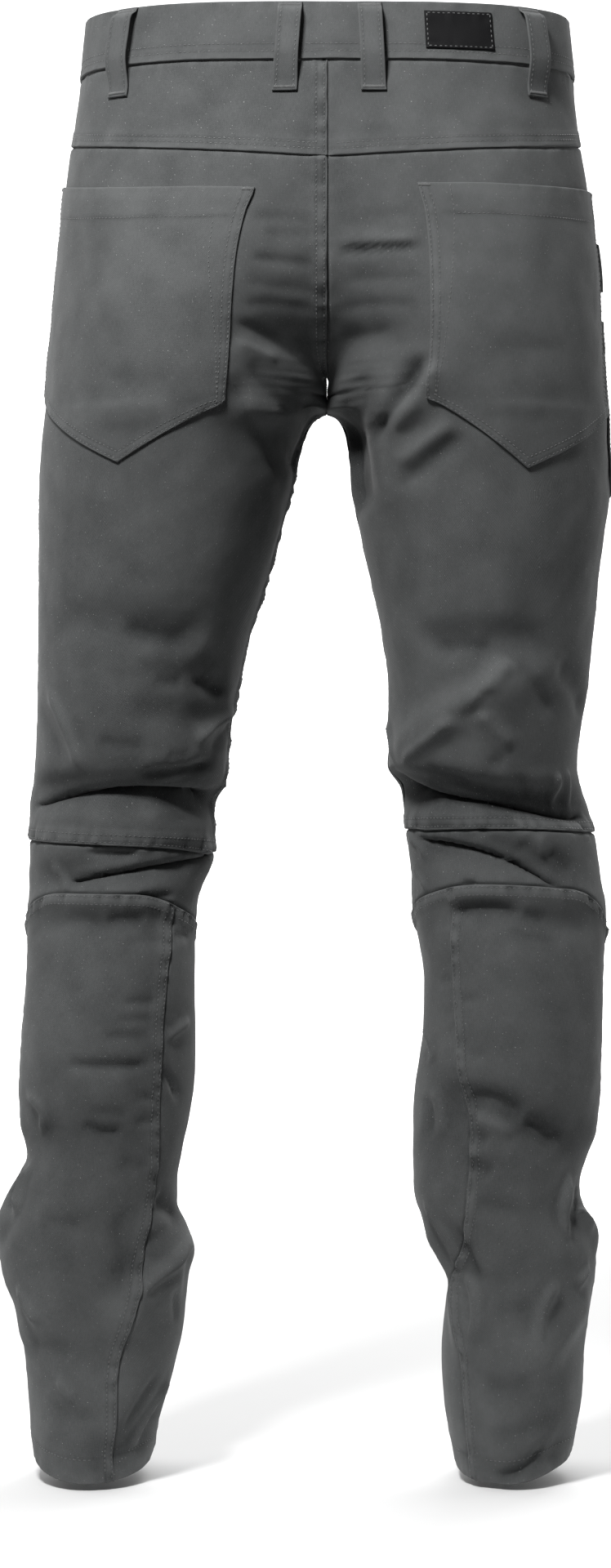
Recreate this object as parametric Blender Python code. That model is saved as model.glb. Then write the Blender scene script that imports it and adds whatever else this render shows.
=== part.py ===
"""Motorcycle trousers, worn and hollow, held up at the waist.

Metres, +Z up. The front faces -Y and the wearer's left leg is at +X.
The origin is the centre of the waist opening, halfway up the waistband.
Tables and sizes below are in millimetres, and "down" is measured from the origin.
"""
import math

import bpy
import numpy as np

MM = 0.001

# Driving sizes
BAND_TOP = -20.0
BAND_SEAM = 20.0
CROTCH = 241.0
CROTCH_Y = 5.0
HEM = 974.0
CLOTH = 1.6
BAND_LIFT = 1.0
PATCH_LIFT = 0.35
PATCH_CLOTH = 1.3
SEAM_GAP = 0.3
HEM_TURN = 18.0
HALF_WAIST = 223.0
HEM_CLOTH = 2.8
FRONT_OVERLAP = 22.0
LOOP_WIDTH = 16.0
LOOP_CLOTH = 2.0
LOOP_STEP = 0.7
LABEL_X = (65.5, 111.0)
LABEL_DOWN = (-13.5, 12.5)
LABEL_CLOTH = 1.0
FLY_WIDTH = 36.0
FLY_BOTTOM = (150.0, 166.0, 172.0)
FLY_LIFT = 0.8
THIGH_POCKET_U = (0.935, 1.37)
THIGH_POCKET_TOP = (188.0, 180.0)
THIGH_POCKET_LIFT = 0.6
BUTTON_RADIUS = 8.5
BUTTON_CLEAR = 0.8
BUTTON_INSET = 10.0
BUTTON_SIDES = 20

# Shape controls
CREASE_ROUNDING = 20.0
WAIST_ROUNDNESS = 0.78
SECTION_STEPS = 32
FRONT_WAIST_DROP = 14.0
BACK_WAIST_DROP = 1.5
HEM_TILT = 0.18
HEM_SLANT = {"left": 0.0, "right": 0.12}
HEM_MIDDLE = 130.0
HEM_TILT_START = 850.0
WAIST_TILT_END = 150.0
CREASE_HALF_TURN = 210.0
NORMAL_STEP_U = 0.012
NORMAL_STEP_DOWN = 2.0
CROTCH_REACH = 0.35
THIGH_ROW = 470.0
BAND_COLUMNS = 13
BAND_SIDE_GAP = 0.0006
OVERLAP_START = 1.92


def table(columns, *rows):
    """Named columns from rows of numbers."""
    values = np.array(rows, float)
    return {name: values[:, i] for i, name in enumerate(columns.split())}


# Outline of each leg seen from behind: distances from the centre line
LEGS = {
    "left": table(
        "down outer inner",
        (-20, 165.5, 0), (20, 170, 0), (65, 177, 0), (98, 181.5, 0), (150, 186, 0),
        (200, 192.5, 0), (241, 195.5, 0), (252, 197, 9.5), (269, 199, 15), (303, 200.6, 23.4),
        (337, 200.6, 34), (372, 200.6, 44), (406, 200.6, 54), (440, 200.8, 61.5), (474, 202, 67.3),
        (508, 204.6, 70), (523, 207, 78), (560, 207.5, 80), (577, 208, 87), (594, 209.2, 91.5),
        (645, 210.3, 92.9), (700, 213.2, 93), (740, 214, 96.5), (765, 209.2, 101.5), (782, 214.3, 104.5),
        (799, 219.5, 105), (816, 226, 98), (833, 228, 93), (850, 225.7, 97), (885, 213.8, 100),
        (919, 209.2, 107), (956, 207, 117), (974, 205.2, 120)),
    "right": table(
        "down outer inner",
        (-20, 166.4, 0), (20, 171, 0), (65, 176.5, 0), (98, 182, 0), (150, 188, 0),
        (200, 191, 0), (241, 194, 0), (252, 195.5, 9.5), (269, 196.2, 13.5), (303, 197.8, 17),
        (337, 193.8, 24.5), (372, 188.7, 32), (406, 185.8, 39.5), (440, 183, 43.9), (474, 177.3, 44),
        (495, 175, 43), (512, 178.5, 52), (543, 187, 55), (577, 192.7, 58.7), (594, 195.5, 59),
        (620, 194.5, 64), (645, 193.8, 66.7), (680, 192.7, 65.6), (714, 191, 61.6), (748, 188, 59.9),
        (768, 181, 60), (785, 176.7, 60.3), (799, 177.5, 62.7), (816, 184, 71.3), (833, 188, 80.4),
        (850, 187.5, 86.5), (868, 184.5, 83.5), (902, 180.1, 80.4), (936, 177.8, 81.5), (974, 170, 88.4)),
}

# Depth of the sections: back and front y, side seam y, and where the back is deepest between the edges
DEPTH = table(
    "down back front side apex",
    (-20, 107, -101, 2, 0.15), (20, 111, -104, 2, 0.18), (65, 117, -107, 2, 0.26),
    (100, 122, -108, 3, 0.33), (150, 128, -107, 4, 0.42), (190, 130, -104, 5, 0.46),
    (241, 125, -98, 5, 0.50), (303, 112, -94, 5, 0.50), (372, 98, -90, 3, 0.50),
    (440, 86, -88, 0, 0.50), (500, 75, -88, -4, 0.50), (530, 64, -89, -7, 0.50),
    (560, 60, -89, -8, 0.50), (594, 64, -83, -5, 0.50), (645, 74, -71, 2, 0.50),
    (700, 80, -63, 6, 0.50), (765, 78, -63, 6, 0.50), (816, 76, -69, 4, 0.50),
    (868, 72, -76, 0, 0.50), (919, 70, -82, -4, 0.50), (974, 70, -88, -6, 0.50))

# Centre back and centre front seams: y at each height above the crotch
CENTRE = table(
    "rise back front",
    (0, 5, 5), (8, 33, -20), (32, 76, -58), (60, 103, -84), (100, 117, -100),
    (150, 120, -106), (200, 116, -106), (261, 107, -101))

# Seams round each leg: u is 0 at the inner edge of the back, 1 at the side, 2 at the front's inner edge
YOKE_SEAM = table("u down", (0, 87), (0.3, 83), (0.6, 77), (0.8, 71), (1, 65))
POCKET_TOP = {
    "left": table("u down", (0, 110), (0.5, 107), (1, 93)),
    "right": table("u down", (0, 106), (0.5, 105), (1, 98)),
}
POCKET_BOTTOM = {
    "left": table("u down", (0, CROTCH), (0.396, 251), (0.6, 292), (1, 236)),
    "right": table("u down", (0, CROTCH), (0.399, 247), (0.59, 296), (1, 243)),
}
POCKET_EDGE = {
    "left": table("down x", (60, 46), (109, 48.7), (125, 55), (158, 62), (205, 66), (251, 69)),
    "right": table("down x", (60, 58), (106, 60), (125, 65), (158, 68), (205, 69.5), (247, 67)),
}
POCKET_TIP = {"left": 141.0, "right": 135.0}
POCKET_OUTER = {"left": 0.985, "right": 0.92}
KNEE_TOP = {
    "left": table("u down", (0, 556), (0.5, 551), (1, 547), (1.5, 545), (2, 556)),
    "right": table("u down", (0, 540), (0.5, 539.5), (1, 542), (1.5, 540), (2, 540)),
}
KNEE_BOTTOM = {
    "left": table("u down", (0, 606), (0.15, 597), (0.4, 584), (0.7, 583), (1, 603), (1.5, 640), (2, 606)),
    "right": table("u down", (0, 598), (0.15, 586), (0.4, 577), (0.7, 580), (1, 609), (1.5, 645), (2, 598)),
}
CALF_SEAM = {
    "left": table("down x", (580, 104), (611, 106), (640, 110), (700, 113), (760, 116), (800, 120),
                  (840, 126), (870, 134), (910, 143), (980, 144)),
    "right": table("down x", (575, 82), (610, 84), (660, 87), (710, 89), (750, 95), (790, 95),
                   (830, 92), (870, 91), (910, 93), (980, 100)),
}
FRONT_POCKET = table("down u", (15, 1.48), (60, 1.36), (110, 1.19), (150, 1.06), (166, 1.02), (167, 1.0))

# Creases: from one end to the other through a middle point, in u and down, with depth inward and half width
CREASES = {
    "left": table(
        "u0 down0 u1 down1 u2 down2 depth width",
        (-0.08, 522, 0.5, 514, 1.03, 520, 11, 12),
        (0.05, 556, 0.5, 569, 0.95, 574, 6, 10),
        (0.15, 604, 0.5, 604, 0.9, 601, 5, 10),
        (0.05, 476, 0.3, 462, 0.6, 466, 4, 14),
        (0.3, 414, 0.5, 402, 0.85, 396, 4, 14),
        (0.15, 447, 0.3, 438, 0.55, 430, 3.5, 12),
        (0.25, 760, 0.6, 752, 0.95, 742, 5, 20),
        (0.86, 820, 1.0, 800, 1.2, 790, -6, 16),
        (0.1, 838, 0.3, 858, 0.5, 886, -7, 14),
        (0.55, 862, 0.75, 876, 0.95, 895, -4, 16),
        (0.1, 930, 0.3, 950, 0.6, 965, 5, 16),
        (1.15, 505, 1.5, 498, 1.85, 508, 6, 16),
        (1.2, 655, 1.5, 668, 1.8, 655, 6, 15),
        (1.1, 880, 1.5, 900, 1.9, 880, 7, 18),
        (1.2, 845, 1.5, 850, 1.8, 838, -5, 16),
        (1.5, 262, 1.75, 240, 1.95, 222, 4, 12)),
    "right": table(
        "u0 down0 u1 down1 u2 down2 depth width",
        (-0.05, 508, 0.4, 519, 1.03, 527, 11, 12),
        (0.1, 548, 0.45, 557, 0.8, 576, 6, 11),
        (0.15, 600, 0.5, 600, 0.85, 608, 5, 10),
        (0.08, 494, 0.4, 458, 0.72, 420, -6, 14),
        (0.68, 424, 0.8, 440, 0.92, 462, 4, 10),
        (0.25, 414, 0.45, 408, 0.7, 414, 4, 12),
        (0.15, 724, 0.5, 742, 0.9, 764, 7, 18),
        (0.1, 752, 0.35, 766, 0.6, 782, 4, 14),
        (0.75, 786, 0.85, 806, 0.98, 830, -6, 13),
        (0.05, 800, 0.15, 850, 0.3, 900, -6, 13),
        (0.5, 912, 0.65, 885, 0.9, 858, -5, 14),
        (0.3, 975, 0.55, 966, 0.8, 954, 5, 14),
        (1.15, 500, 1.5, 492, 1.85, 500, 6, 16),
        (1.2, 660, 1.5, 672, 1.8, 650, 6, 15),
        (1.1, 872, 1.5, 892, 1.9, 885, 7, 18),
        (1.2, 835, 1.5, 842, 1.8, 846, -5, 16),
        (1.5, 262, 1.75, 240, 1.95, 222, 4, 12)),
}

# Belt loops: side, distance from the centre line at the top and foot, front or back, room for the belt
BELT_LOOPS = (
    ("belt_loop_1", "left", 134.0, 142.0, "back", 7.4),
    ("belt_loop_2", "left", 25.0, 29.0, "back", 6.3),
    ("belt_loop_3", "right", 28.0, 31.0, "back", 6.3),
    ("belt_loop_4", "right", 134.0, 142.0, "back", 7.4),
    ("belt_loop_5", "left", 98.0, 101.0, "front", 7.0),
    ("belt_loop_6", "right", 98.0, 101.0, "front", 7.0),
)


def curve(x, xs, ys):
    """Smooth curve through the points that never overshoots them."""
    x = np.clip(x, xs[0], xs[-1])
    steps = np.diff(xs)
    rises = np.diff(ys) / steps
    slopes = np.empty_like(ys)
    slopes[0], slopes[-1] = rises[0], rises[-1]
    product = rises[:-1] * rises[1:]
    total = np.where(product > 0, rises[:-1] + rises[1:], 1.0)
    slopes[1:-1] = np.where(product > 0, 2 * product / total, 0.0)
    i = np.clip(np.searchsorted(xs, x, side="right") - 1, 0, len(steps) - 1)
    t = (x - xs[i]) / steps[i]
    rest = 1 - t
    return (ys[i] * (1 + 2 * t) * rest ** 2 + ys[i + 1] * (3 - 2 * t) * t ** 2
            + steps[i] * (slopes[i] * t * rest ** 2 - slopes[i + 1] * rest * t ** 2))


def ease(x):
    """Rises smoothly from 0 to 1 as x does."""
    x = np.clip(x, 0.0, 1.0)
    return x * x * (3 - 2 * x)


def leg_outline(side, down):
    """Outer and inner distance from the centre line."""
    leg = LEGS[side]
    below = leg["down"] >= CROTCH
    depth_below = np.sqrt(np.maximum(down - CROTCH, 0))
    inner = curve(depth_below, np.sqrt(leg["down"][below] - CROTCH), leg["inner"][below])
    return curve(down, leg["down"], leg["outer"]), inner


def half_section(side, down, back_half):
    """The section's curve from its inner edge to the side seam, one row of points for each height."""
    outer, inner = leg_outline(side, down)
    side_y = curve(down, DEPTH["down"], DEPTH["side"])
    back_y, front_y = (curve(down, DEPTH["down"], DEPTH[name]) for name in ("back", "front"))
    far = np.where(back_half, back_y, front_y)
    rise = np.maximum(CROTCH - down, 0)
    root = np.sqrt(CENTRE["rise"])
    back_edge, front_edge = (curve(np.sqrt(rise), root, CENTRE[name]) for name in ("back", "front"))
    centre = np.where(back_half, back_edge, front_edge)
    inseam_y = CROTCH_Y + (side_y - CROTCH_Y) * ease((down - CROTCH) / 200)
    edge = np.where(down < CROTCH, centre, inseam_y)
    apex = inner + (outer - inner) * curve(down, DEPTH["down"], DEPTH["apex"])
    cleft = np.exp(-rise / CREASE_ROUNDING)
    outer, inner, side_y, far, edge, apex, cleft = (
        value[:, None] for value in (outer, inner, side_y, far, edge, apex, cleft))
    t = np.linspace(0, 1, SECTION_STEPS)[None, :]
    quarter = t * math.pi / 2
    soft_x = inner + (apex - inner) * t
    soft_y = edge + (far - edge) * (1 - np.cos(math.pi * t)) / 2
    round_x = inner + (apex - inner) * (1 - np.cos(quarter))
    round_y = edge + (far - edge) * np.sin(quarter)
    inner_x = soft_x + (round_x - soft_x) * cleft
    inner_y = soft_y + (round_y - soft_y) * cleft
    roundness = WAIST_ROUNDNESS + (1 - WAIST_ROUNDNESS) * ease(down[:, None] / 220)
    outer_x = apex + (outer - apex) * np.sin(quarter) ** roundness
    outer_y = side_y + (far - side_y) * np.maximum(np.cos(quarter), 0) ** roundness
    x = np.concatenate([inner_x, outer_x[:, 1:]], axis=1)
    y = np.concatenate([inner_y, outer_y[:, 1:]], axis=1)
    return x, y


def pick(values, index, part):
    """Value between two neighbours in each row."""
    low = np.take_along_axis(values, index, axis=1)[:, 0]
    high = np.take_along_axis(values, index + 1, axis=1)[:, 0]
    return low + (high - low) * part


def wrap(u, down):
    """Below the crotch the section closes, so u goes round. Above it stops at the centre seams."""
    return np.where(down > CROTCH, np.mod(u, 2.0), np.clip(u, 0.0, 2.0))


def smooth_cloth(side, u, down):
    """Points of the cloth without its creases."""
    u = wrap(u, down)
    back_half = u <= 1
    along = np.where(back_half, u, 2 - u)
    x, y = half_section(side, down, back_half)
    steps = np.hypot(np.diff(x, axis=1), np.diff(y, axis=1))
    lengths = np.concatenate([np.zeros((len(u), 1)), np.cumsum(steps, axis=1)], axis=1)
    target = along * lengths[:, -1]
    index = np.clip((lengths <= target[:, None]).sum(axis=1) - 1, 0, x.shape[1] - 2)[:, None]
    start = np.take_along_axis(lengths, index, axis=1)[:, 0]
    step = np.take_along_axis(steps, index, axis=1)[:, 0]
    part = np.clip((target - start) / step, 0, 1)
    px = pick(x, index, part)
    py = pick(y, index, part)
    near_hem = ease((down - HEM_TILT_START) / (HEM - HEM_TILT_START))
    z = -down - (HEM_TILT * py + HEM_SLANT[side] * (HEM_MIDDLE - px)) * near_hem
    at_waist = ease((WAIST_TILT_END - down) / (WAIST_TILT_END - BAND_TOP))
    z = z - at_waist * np.where(py < 0, FRONT_WAIST_DROP * ease(-py / 100), BACK_WAIST_DROP * ease(py / 100))
    sign = 1.0 if side == "left" else -1.0
    return np.stack([sign * px, py, z], axis=1)


def crease_depth(side, u, down):
    """How far the creases push the cloth in, in millimetres."""
    rows = CREASES[side]
    total = np.zeros_like(u)
    t = np.linspace(0, 1, 17)
    for i in range(len(rows["u0"])):
        mid_u = 2 * rows["u1"][i] - (rows["u0"][i] + rows["u2"][i]) / 2
        mid_down = 2 * rows["down1"][i] - (rows["down0"][i] + rows["down2"][i]) / 2
        line_u = (1 - t) ** 2 * rows["u0"][i] + 2 * t * (1 - t) * mid_u + t ** 2 * rows["u2"][i]
        line_down = (1 - t) ** 2 * rows["down0"][i] + 2 * t * (1 - t) * mid_down + t ** 2 * rows["down2"][i]
        across = u[:, None] - line_u
        across = np.where(down[:, None] > CROTCH, np.mod(across + 1, 2.0) - 1, across)
        reach = np.hypot(across * CREASE_HALF_TURN, down[:, None] - line_down)
        nearest = np.argmin(reach, axis=1)
        place = t[nearest]
        away = reach[np.arange(len(u)), nearest] / rows["width"][i]
        fade = ease(place / 0.25) * ease((1 - place) / 0.25)
        total += rows["depth"][i] * np.exp(-away ** 2) * fade
    return total


def normals_of(points_at, side, u, down):
    """Outward directions of a surface, from points a little way off on each side."""
    du, dd = NORMAL_STEP_U, NORMAL_STEP_DOWN
    along = points_at(side, u + du, down) - points_at(side, u - du, down)
    across = points_at(side, u, down + dd) - points_at(side, u, down - dd)
    normal = np.cross(across, along)
    if side == "left":
        normal = -normal
    return normal / np.maximum(np.linalg.norm(normal, axis=1, keepdims=True), 1e-9)


def creased_cloth(side, u, down):
    """Points of the cloth with its creases."""
    depth = crease_depth(side, wrap(u, down), down)[:, None]
    return smooth_cloth(side, u, down) - normals_of(smooth_cloth, side, u, down) * depth


def layer(side, u, down, lifts):
    """The cloth's points moved out by each lift, clear of the plane between the left and right pieces."""
    shape = u.shape
    flat_u, flat_down = u.ravel(), down.ravel()
    points = creased_cloth(side, flat_u, flat_down)
    normals = normals_of(creased_cloth, side, flat_u, flat_down)
    layers = []
    sign = 1.0 if side == "left" else -1.0
    for lift in lifts:
        moved = points + normals * np.broadcast_to(lift, shape).reshape(-1, 1)
        moved[:, 0] = sign * np.maximum(sign * moved[:, 0], SEAM_GAP / 2)
        layers.append(moved.reshape(shape + (3,)))
    return layers


def u_at(side, x, down, half="back"):
    """Where on the section the cloth is x from the centre line."""
    down = np.atleast_1d(np.asarray(down, float))
    x = np.broadcast_to(np.asarray(x, float), down.shape)
    xs, ys = half_section(side, down, np.full(down.shape, half == "back"))
    steps = np.hypot(np.diff(xs, axis=1), np.diff(ys, axis=1))
    lengths = np.concatenate([np.zeros((len(down), 1)), np.cumsum(steps, axis=1)], axis=1)
    along = np.array([np.interp(x[i], xs[i], lengths[i] / lengths[i, -1]) for i in range(len(down))])
    return along if half == "back" else 2 - along


def x_line(side, rows):
    """A seam given by distances from the centre line, as u at each height."""
    downs = np.linspace(rows["down"][0], rows["down"][-1], 40)
    us = u_at(side, curve(downs, rows["down"], rows["x"]), downs)
    return lambda down: np.interp(down, downs, us)


def u_line(rows):
    """A seam given by heights, as down at each u."""
    return lambda u: curve(u, rows["u"], rows["down"])


def bent_line(rows):
    """A seam of straight stretches, as down at each u."""
    return lambda u: np.interp(u, rows["u"], rows["down"])


def level(value):
    """A seam or edge at one u, or at one height."""
    return lambda other: np.full_like(other, value)


def spread(counts):
    """Fractions of the knots passed at each grid line, with counts[i] steps between knots i and i + 1."""
    parts = [np.arange(count) / count + i for i, count in enumerate(counts)]
    return np.concatenate(parts + [[len(counts)]])


def lattice(columns, column_counts, rows, row_counts, row_shapes=None):
    """Grid of u and down whose lines pass along the given seams."""
    s, t = np.meshgrid(spread(column_counts), spread(row_counts))
    shapes = row_shapes or {}
    u = np.zeros_like(s) + 0.5
    down = np.full_like(s, 300.0)
    for _ in range(12):
        edges = np.stack([line(down.ravel()).reshape(s.shape) for line in columns])
        i = np.clip(s.astype(int), 0, len(columns) - 2)
        low = np.take_along_axis(edges, i[None], axis=0)[0]
        high = np.take_along_axis(edges, i[None] + 1, axis=0)[0]
        u = low + (high - low) * (s - i)
        levels = np.stack([line(u.ravel()).reshape(s.shape) for line in rows])
        k = np.clip(t.astype(int), 0, len(rows) - 2)
        top = np.take_along_axis(levels, k[None], axis=0)[0]
        bottom = np.take_along_axis(levels, k[None] + 1, axis=0)[0]
        part = t - k
        for segment, shape in shapes.items():
            part = np.where(k == segment, shape(part, u), part)
        down = top + (bottom - top) * part
    return u, down


def bridge(upper, lower, top, bottom, rows):
    """Grid between two seams whose columns meet those of the pieces above and below."""
    part = np.linspace(0, 1, rows + 1)[:, None]
    u = upper[None, :] * (1 - part) + lower[None, :] * part
    return u, top(u.ravel()).reshape(u.shape) * (1 - part) + bottom(u.ravel()).reshape(u.shape) * part


def toward_crotch(part, u):
    """Rows that crowd just above the crotch near the centre seams."""
    near = 1 - ease(np.minimum(u, 2 - u) / CROTCH_REACH)
    return part + near * (1 - (1 - part) ** 2 - part)


def from_crotch(part, u):
    """Rows that crowd just below the crotch near the inseam."""
    near = 1 - ease(np.minimum(u, 2 - u) / CROTCH_REACH)
    return part - near * 0.8 * part * (1 - part) ** 2


def trim(u, down):
    """Draws the grid's four edges in by half a seam gap."""
    half_gap = SEAM_GAP / 2
    u, down = u.copy(), down.copy()
    u[:, 0] += half_gap / HALF_WAIST
    u[:, -1] -= half_gap / HALF_WAIST
    down[0] += half_gap
    down[-1] -= half_gap
    return u, down


def make_material(name, color, roughness, metallic=0.0):
    """A Principled finish for one kind of piece."""
    material = bpy.data.materials.new(name)
    material.use_nodes = True
    shader = material.node_tree.nodes["Principled BSDF"]
    shader.inputs["Base Color"].default_value = (*color, 1.0)
    shader.inputs["Roughness"].default_value = roughness
    shader.inputs["Metallic"].default_value = metallic
    material.diffuse_color = (*color, 1.0)
    return material


def add_mesh(name, points, faces, material):
    """One closed solid with its faces pointing out."""
    points = np.asarray(points) * MM
    corners = points[np.array(faces)]
    volume = np.einsum("ij,ij->i", corners[:, 0], np.cross(corners[:, 1], corners[:, 2])).sum()
    if volume < 0:
        faces = [tuple(reversed(face)) for face in faces]
    mesh = bpy.data.meshes.new(name)
    mesh.from_pydata([tuple(point) for point in points], [], faces)
    mesh.materials.append(material)
    mesh.shade_smooth()
    mesh.set_sharp_from_angle(angle=math.radians(40))
    piece = bpy.data.objects.new(name, mesh)
    bpy.context.scene.collection.objects.link(piece)
    return piece


def wall(name, outer, inner, material):
    """A closed wall between two grids of points."""
    rows, columns = outer.shape[:2]
    index = np.arange(rows * columns).reshape(rows, columns)
    under = rows * columns
    faces = []
    for i in range(rows - 1):
        for j in range(columns - 1):
            a, b, c, d = index[i, j], index[i, j + 1], index[i + 1, j + 1], index[i + 1, j]
            faces += [(a, b, c), (a, c, d)]
            faces += [(a + under, c + under, b + under), (a + under, d + under, c + under)]
    rim = list(index[0, :]) + list(index[1:, -1]) + list(index[-1, -2::-1]) + list(index[-2:0:-1, 0])
    for a, b in zip(rim, rim[1:] + rim[:1]):
        faces += [(a, a + under, b + under), (a, b + under, b)]
    faces = [tuple(int(i) for i in face) for face in faces]
    return add_mesh(name, np.concatenate([outer.reshape(-1, 3), inner.reshape(-1, 3)]), faces, material)


def panel(name, side, u, down, material, hem=False):
    """A cut piece of cloth, turned double at the hem."""
    u, down = trim(u, down)
    inward = np.full(u.shape, -CLOTH)
    if hem:
        inward = np.where(down > HEM - HEM_TURN - 1, -HEM_CLOTH, inward)
    outer, inner = layer(side, u, down, (0.0, inward))
    return wall(name, outer, inner, material)


def back_pieces(side, cloth):
    """Yoke, seat and thigh, back pocket, back of the knee and back of the calf."""
    yoke = u_line(YOKE_SEAM)
    pocket_top, pocket_bottom = u_line(POCKET_TOP[side]), bent_line(POCKET_BOTTOM[side])
    knee_top, knee_bottom = u_line(KNEE_TOP[side]), u_line(KNEE_BOTTOM[side])
    pocket_edge = x_line(side, POCKET_EDGE[side])
    tip_rows = {"down": np.array([60.0, 300.0]), "x": np.array([POCKET_TIP[side] - 8, POCKET_TIP[side]])}
    pocket_tip = x_line(side, tip_rows)
    lines = (level(0.0), pocket_edge, pocket_tip, level(1.0))
    counts = (3, 4, 4)

    u, down = lattice(lines, counts, (level(BAND_SEAM), yoke), (3,))
    panel(f"yoke_{side}", side, u, down, cloth)

    rows = (yoke, pocket_top, pocket_bottom, level(THIGH_ROW), knee_top)
    u, down = lattice(lines, counts, rows, (1, 7, 8, 7), {1: toward_crotch, 2: from_crotch})
    panel(f"back_panel_{side}", side, u, down, cloth)
    first, last = counts[0], sum(counts)
    pocket_u, pocket_down = u[1:9, first:last + 1].copy(), down[1:9, first:last + 1].copy()
    pocket_u[:, -1] = POCKET_OUTER[side]
    outer, inner = layer(side, pocket_u, pocket_down, (PATCH_LIFT + PATCH_CLOTH, PATCH_LIFT))
    wall(f"back_pocket_{side}", outer, inner, cloth)

    calf_seam = x_line(side, CALF_SEAM[side])
    rows = (knee_bottom, level(HEM - HEM_TURN), level(HEM))
    calf_u, calf_down = lattice((calf_seam, level(1.0)), (9,), rows, (20, 1))
    panel(f"back_calf_{side}", side, calf_u, calf_down, cloth, hem=True)

    lower = np.concatenate([calf_u[0, 0] * np.array([0.0, 0.5]), calf_u[0]])
    u, down = bridge(u[-1], lower, knee_top, knee_bottom, 4)
    panel(f"back_knee_{side}", side, u, down, cloth)


def front_pieces(side, cloth):
    """Front panel with its pocket facing, knee and shin."""
    knee_top, knee_bottom = u_line(KNEE_TOP[side]), u_line(KNEE_BOTTOM[side])
    pocket_end = FRONT_POCKET["down"][-2]

    def opening(down):
        return np.interp(down, FRONT_POCKET["down"], FRONT_POCKET["u"])

    crotch_row = u_line(table("u down", (1, POCKET_BOTTOM[side]["down"][-1]), (2, CROTCH)))
    rows = (level(BAND_SEAM), level(pocket_end), level(FRONT_POCKET["down"][-1]),
            crotch_row, level(THIGH_ROW), knee_top)
    shapes = {3: toward_crotch, 4: from_crotch}
    u, down = lattice((opening, level(2.0)), (10,), rows, (6, 1, 4, 8, 7), shapes)
    panel(f"front_panel_{side}", side, u, down, cloth)

    bottom = level(pocket_end - SEAM_GAP)
    u, down = lattice((level(1.0), opening), (4,), (level(BAND_SEAM), bottom), (6,))
    panel(f"pocket_facing_{side}", side, u, down, cloth)

    u, down = lattice((level(1.0), level(2.0)), (10,), (knee_top, knee_bottom), (4,))
    panel(f"front_knee_{side}", side, u, down, cloth)

    calf_seam = x_line(side, CALF_SEAM[side])

    def around(down):
        return 2 + calf_seam(down)

    def wrapped(u):
        return knee_bottom(np.where(u > 2, u - 2, u))

    rows = (wrapped, level(HEM - HEM_TURN), level(HEM))
    u, down = lattice((level(1.0), level(2.0), around), (10, 2), rows, (20, 1))
    panel(f"shin_{side}", side, u, down, cloth, hem=True)


def waistband(cloth):
    """Back part from side seam to side seam, and two front parts that overlap at the centre."""
    lifts = (BAND_LIFT, -CLOTH)
    downs = np.array([BAND_TOP, BAND_TOP / 2, 0.0, BAND_SEAM / 2, BAND_SEAM - SEAM_GAP])
    half_turns = np.linspace(0, 1 - BAND_SIDE_GAP, BAND_COLUMNS)
    halves = []
    for side in ("left", "right"):
        u, down = np.meshgrid(half_turns, downs)
        halves.append(layer(side, u, down, lifts))
    halves[0] = [grid[:, ::-1] for grid in halves[0]]
    outer, inner = (np.concatenate([halves[0][i], halves[1][i][:, 1:]], axis=1) for i in (0, 1))
    outer[:, BAND_COLUMNS - 1, 0] = inner[:, BAND_COLUMNS - 1, 0] = 0.0
    wall("waistband_back", outer, inner, cloth)

    u, down = np.meshgrid(np.linspace(1 + BAND_SIDE_GAP, 2, BAND_COLUMNS), downs)
    outer, inner = layer("right", u, down, lifts)
    wall("waistband_front_right", outer, inner, cloth)

    step_up = BAND_LIFT + CLOTH + SEAM_GAP
    step_end = OVERLAP_START + 0.055
    flat_turns = np.linspace(1 + BAND_SIDE_GAP, OVERLAP_START, BAND_COLUMNS - 1)
    turns = np.concatenate([flat_turns, [OVERLAP_START + 0.03, step_end, 2.0]])
    u, down = np.meshgrid(turns, downs)
    lift = step_up * ease((u - OVERLAP_START) / (step_end - OVERLAP_START))
    outer, inner = layer("left", u, down, (lift + BAND_LIFT, lift - CLOTH))
    turns = 2 - np.array([0.5, 1.0]) * FRONT_OVERLAP / HALF_WAIST
    u, down = np.meshgrid(turns, downs)
    end_outer, end_inner = layer("right", u, down, (step_up + BAND_LIFT, step_up - CLOTH))
    outer[:, -1, 0] = inner[:, -1, 0] = 0.0
    outer, inner = np.concatenate([outer, end_outer], axis=1), np.concatenate([inner, end_inner], axis=1)
    wall("waistband_front_left", outer, inner, cloth)


def belt_loops(cloth):
    """Folded strips sewn to the band's top edge and below its seam, standing off for a belt."""
    for name, side, top_x, foot_x, half, room in BELT_LOOPS:
        stand = BAND_LIFT + room
        profile = table(
            "down lift",
            (-19.4, BAND_LIFT + PATCH_LIFT), (-16.5, BAND_LIFT + 1.5), (-12, stand - LOOP_STEP),
            (-6, stand), (6, stand), (15, stand - LOOP_STEP / 2), (24, stand * 0.66),
            (31, 2.4), (36, PATCH_LIFT + 0.4), (42, PATCH_LIFT))
        down = profile["down"]
        middle_x = top_x + (foot_x - top_x) * (down - down[0]) / (down[-1] - down[0])
        middle = u_at(side, middle_x, down, half)
        steps = np.array([-0.5, 0.0, 0.5]) * LOOP_WIDTH / HALF_WAIST
        u = middle[:, None] + steps[None, :]
        grid_down = np.repeat(down[:, None], 3, axis=1)
        lift = np.repeat(profile["lift"][:, None], 3, axis=1)
        outer, inner = layer(side, u, grid_down, (lift + LOOP_CLOTH, lift))
        wall(name, outer, inner, cloth)


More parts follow.
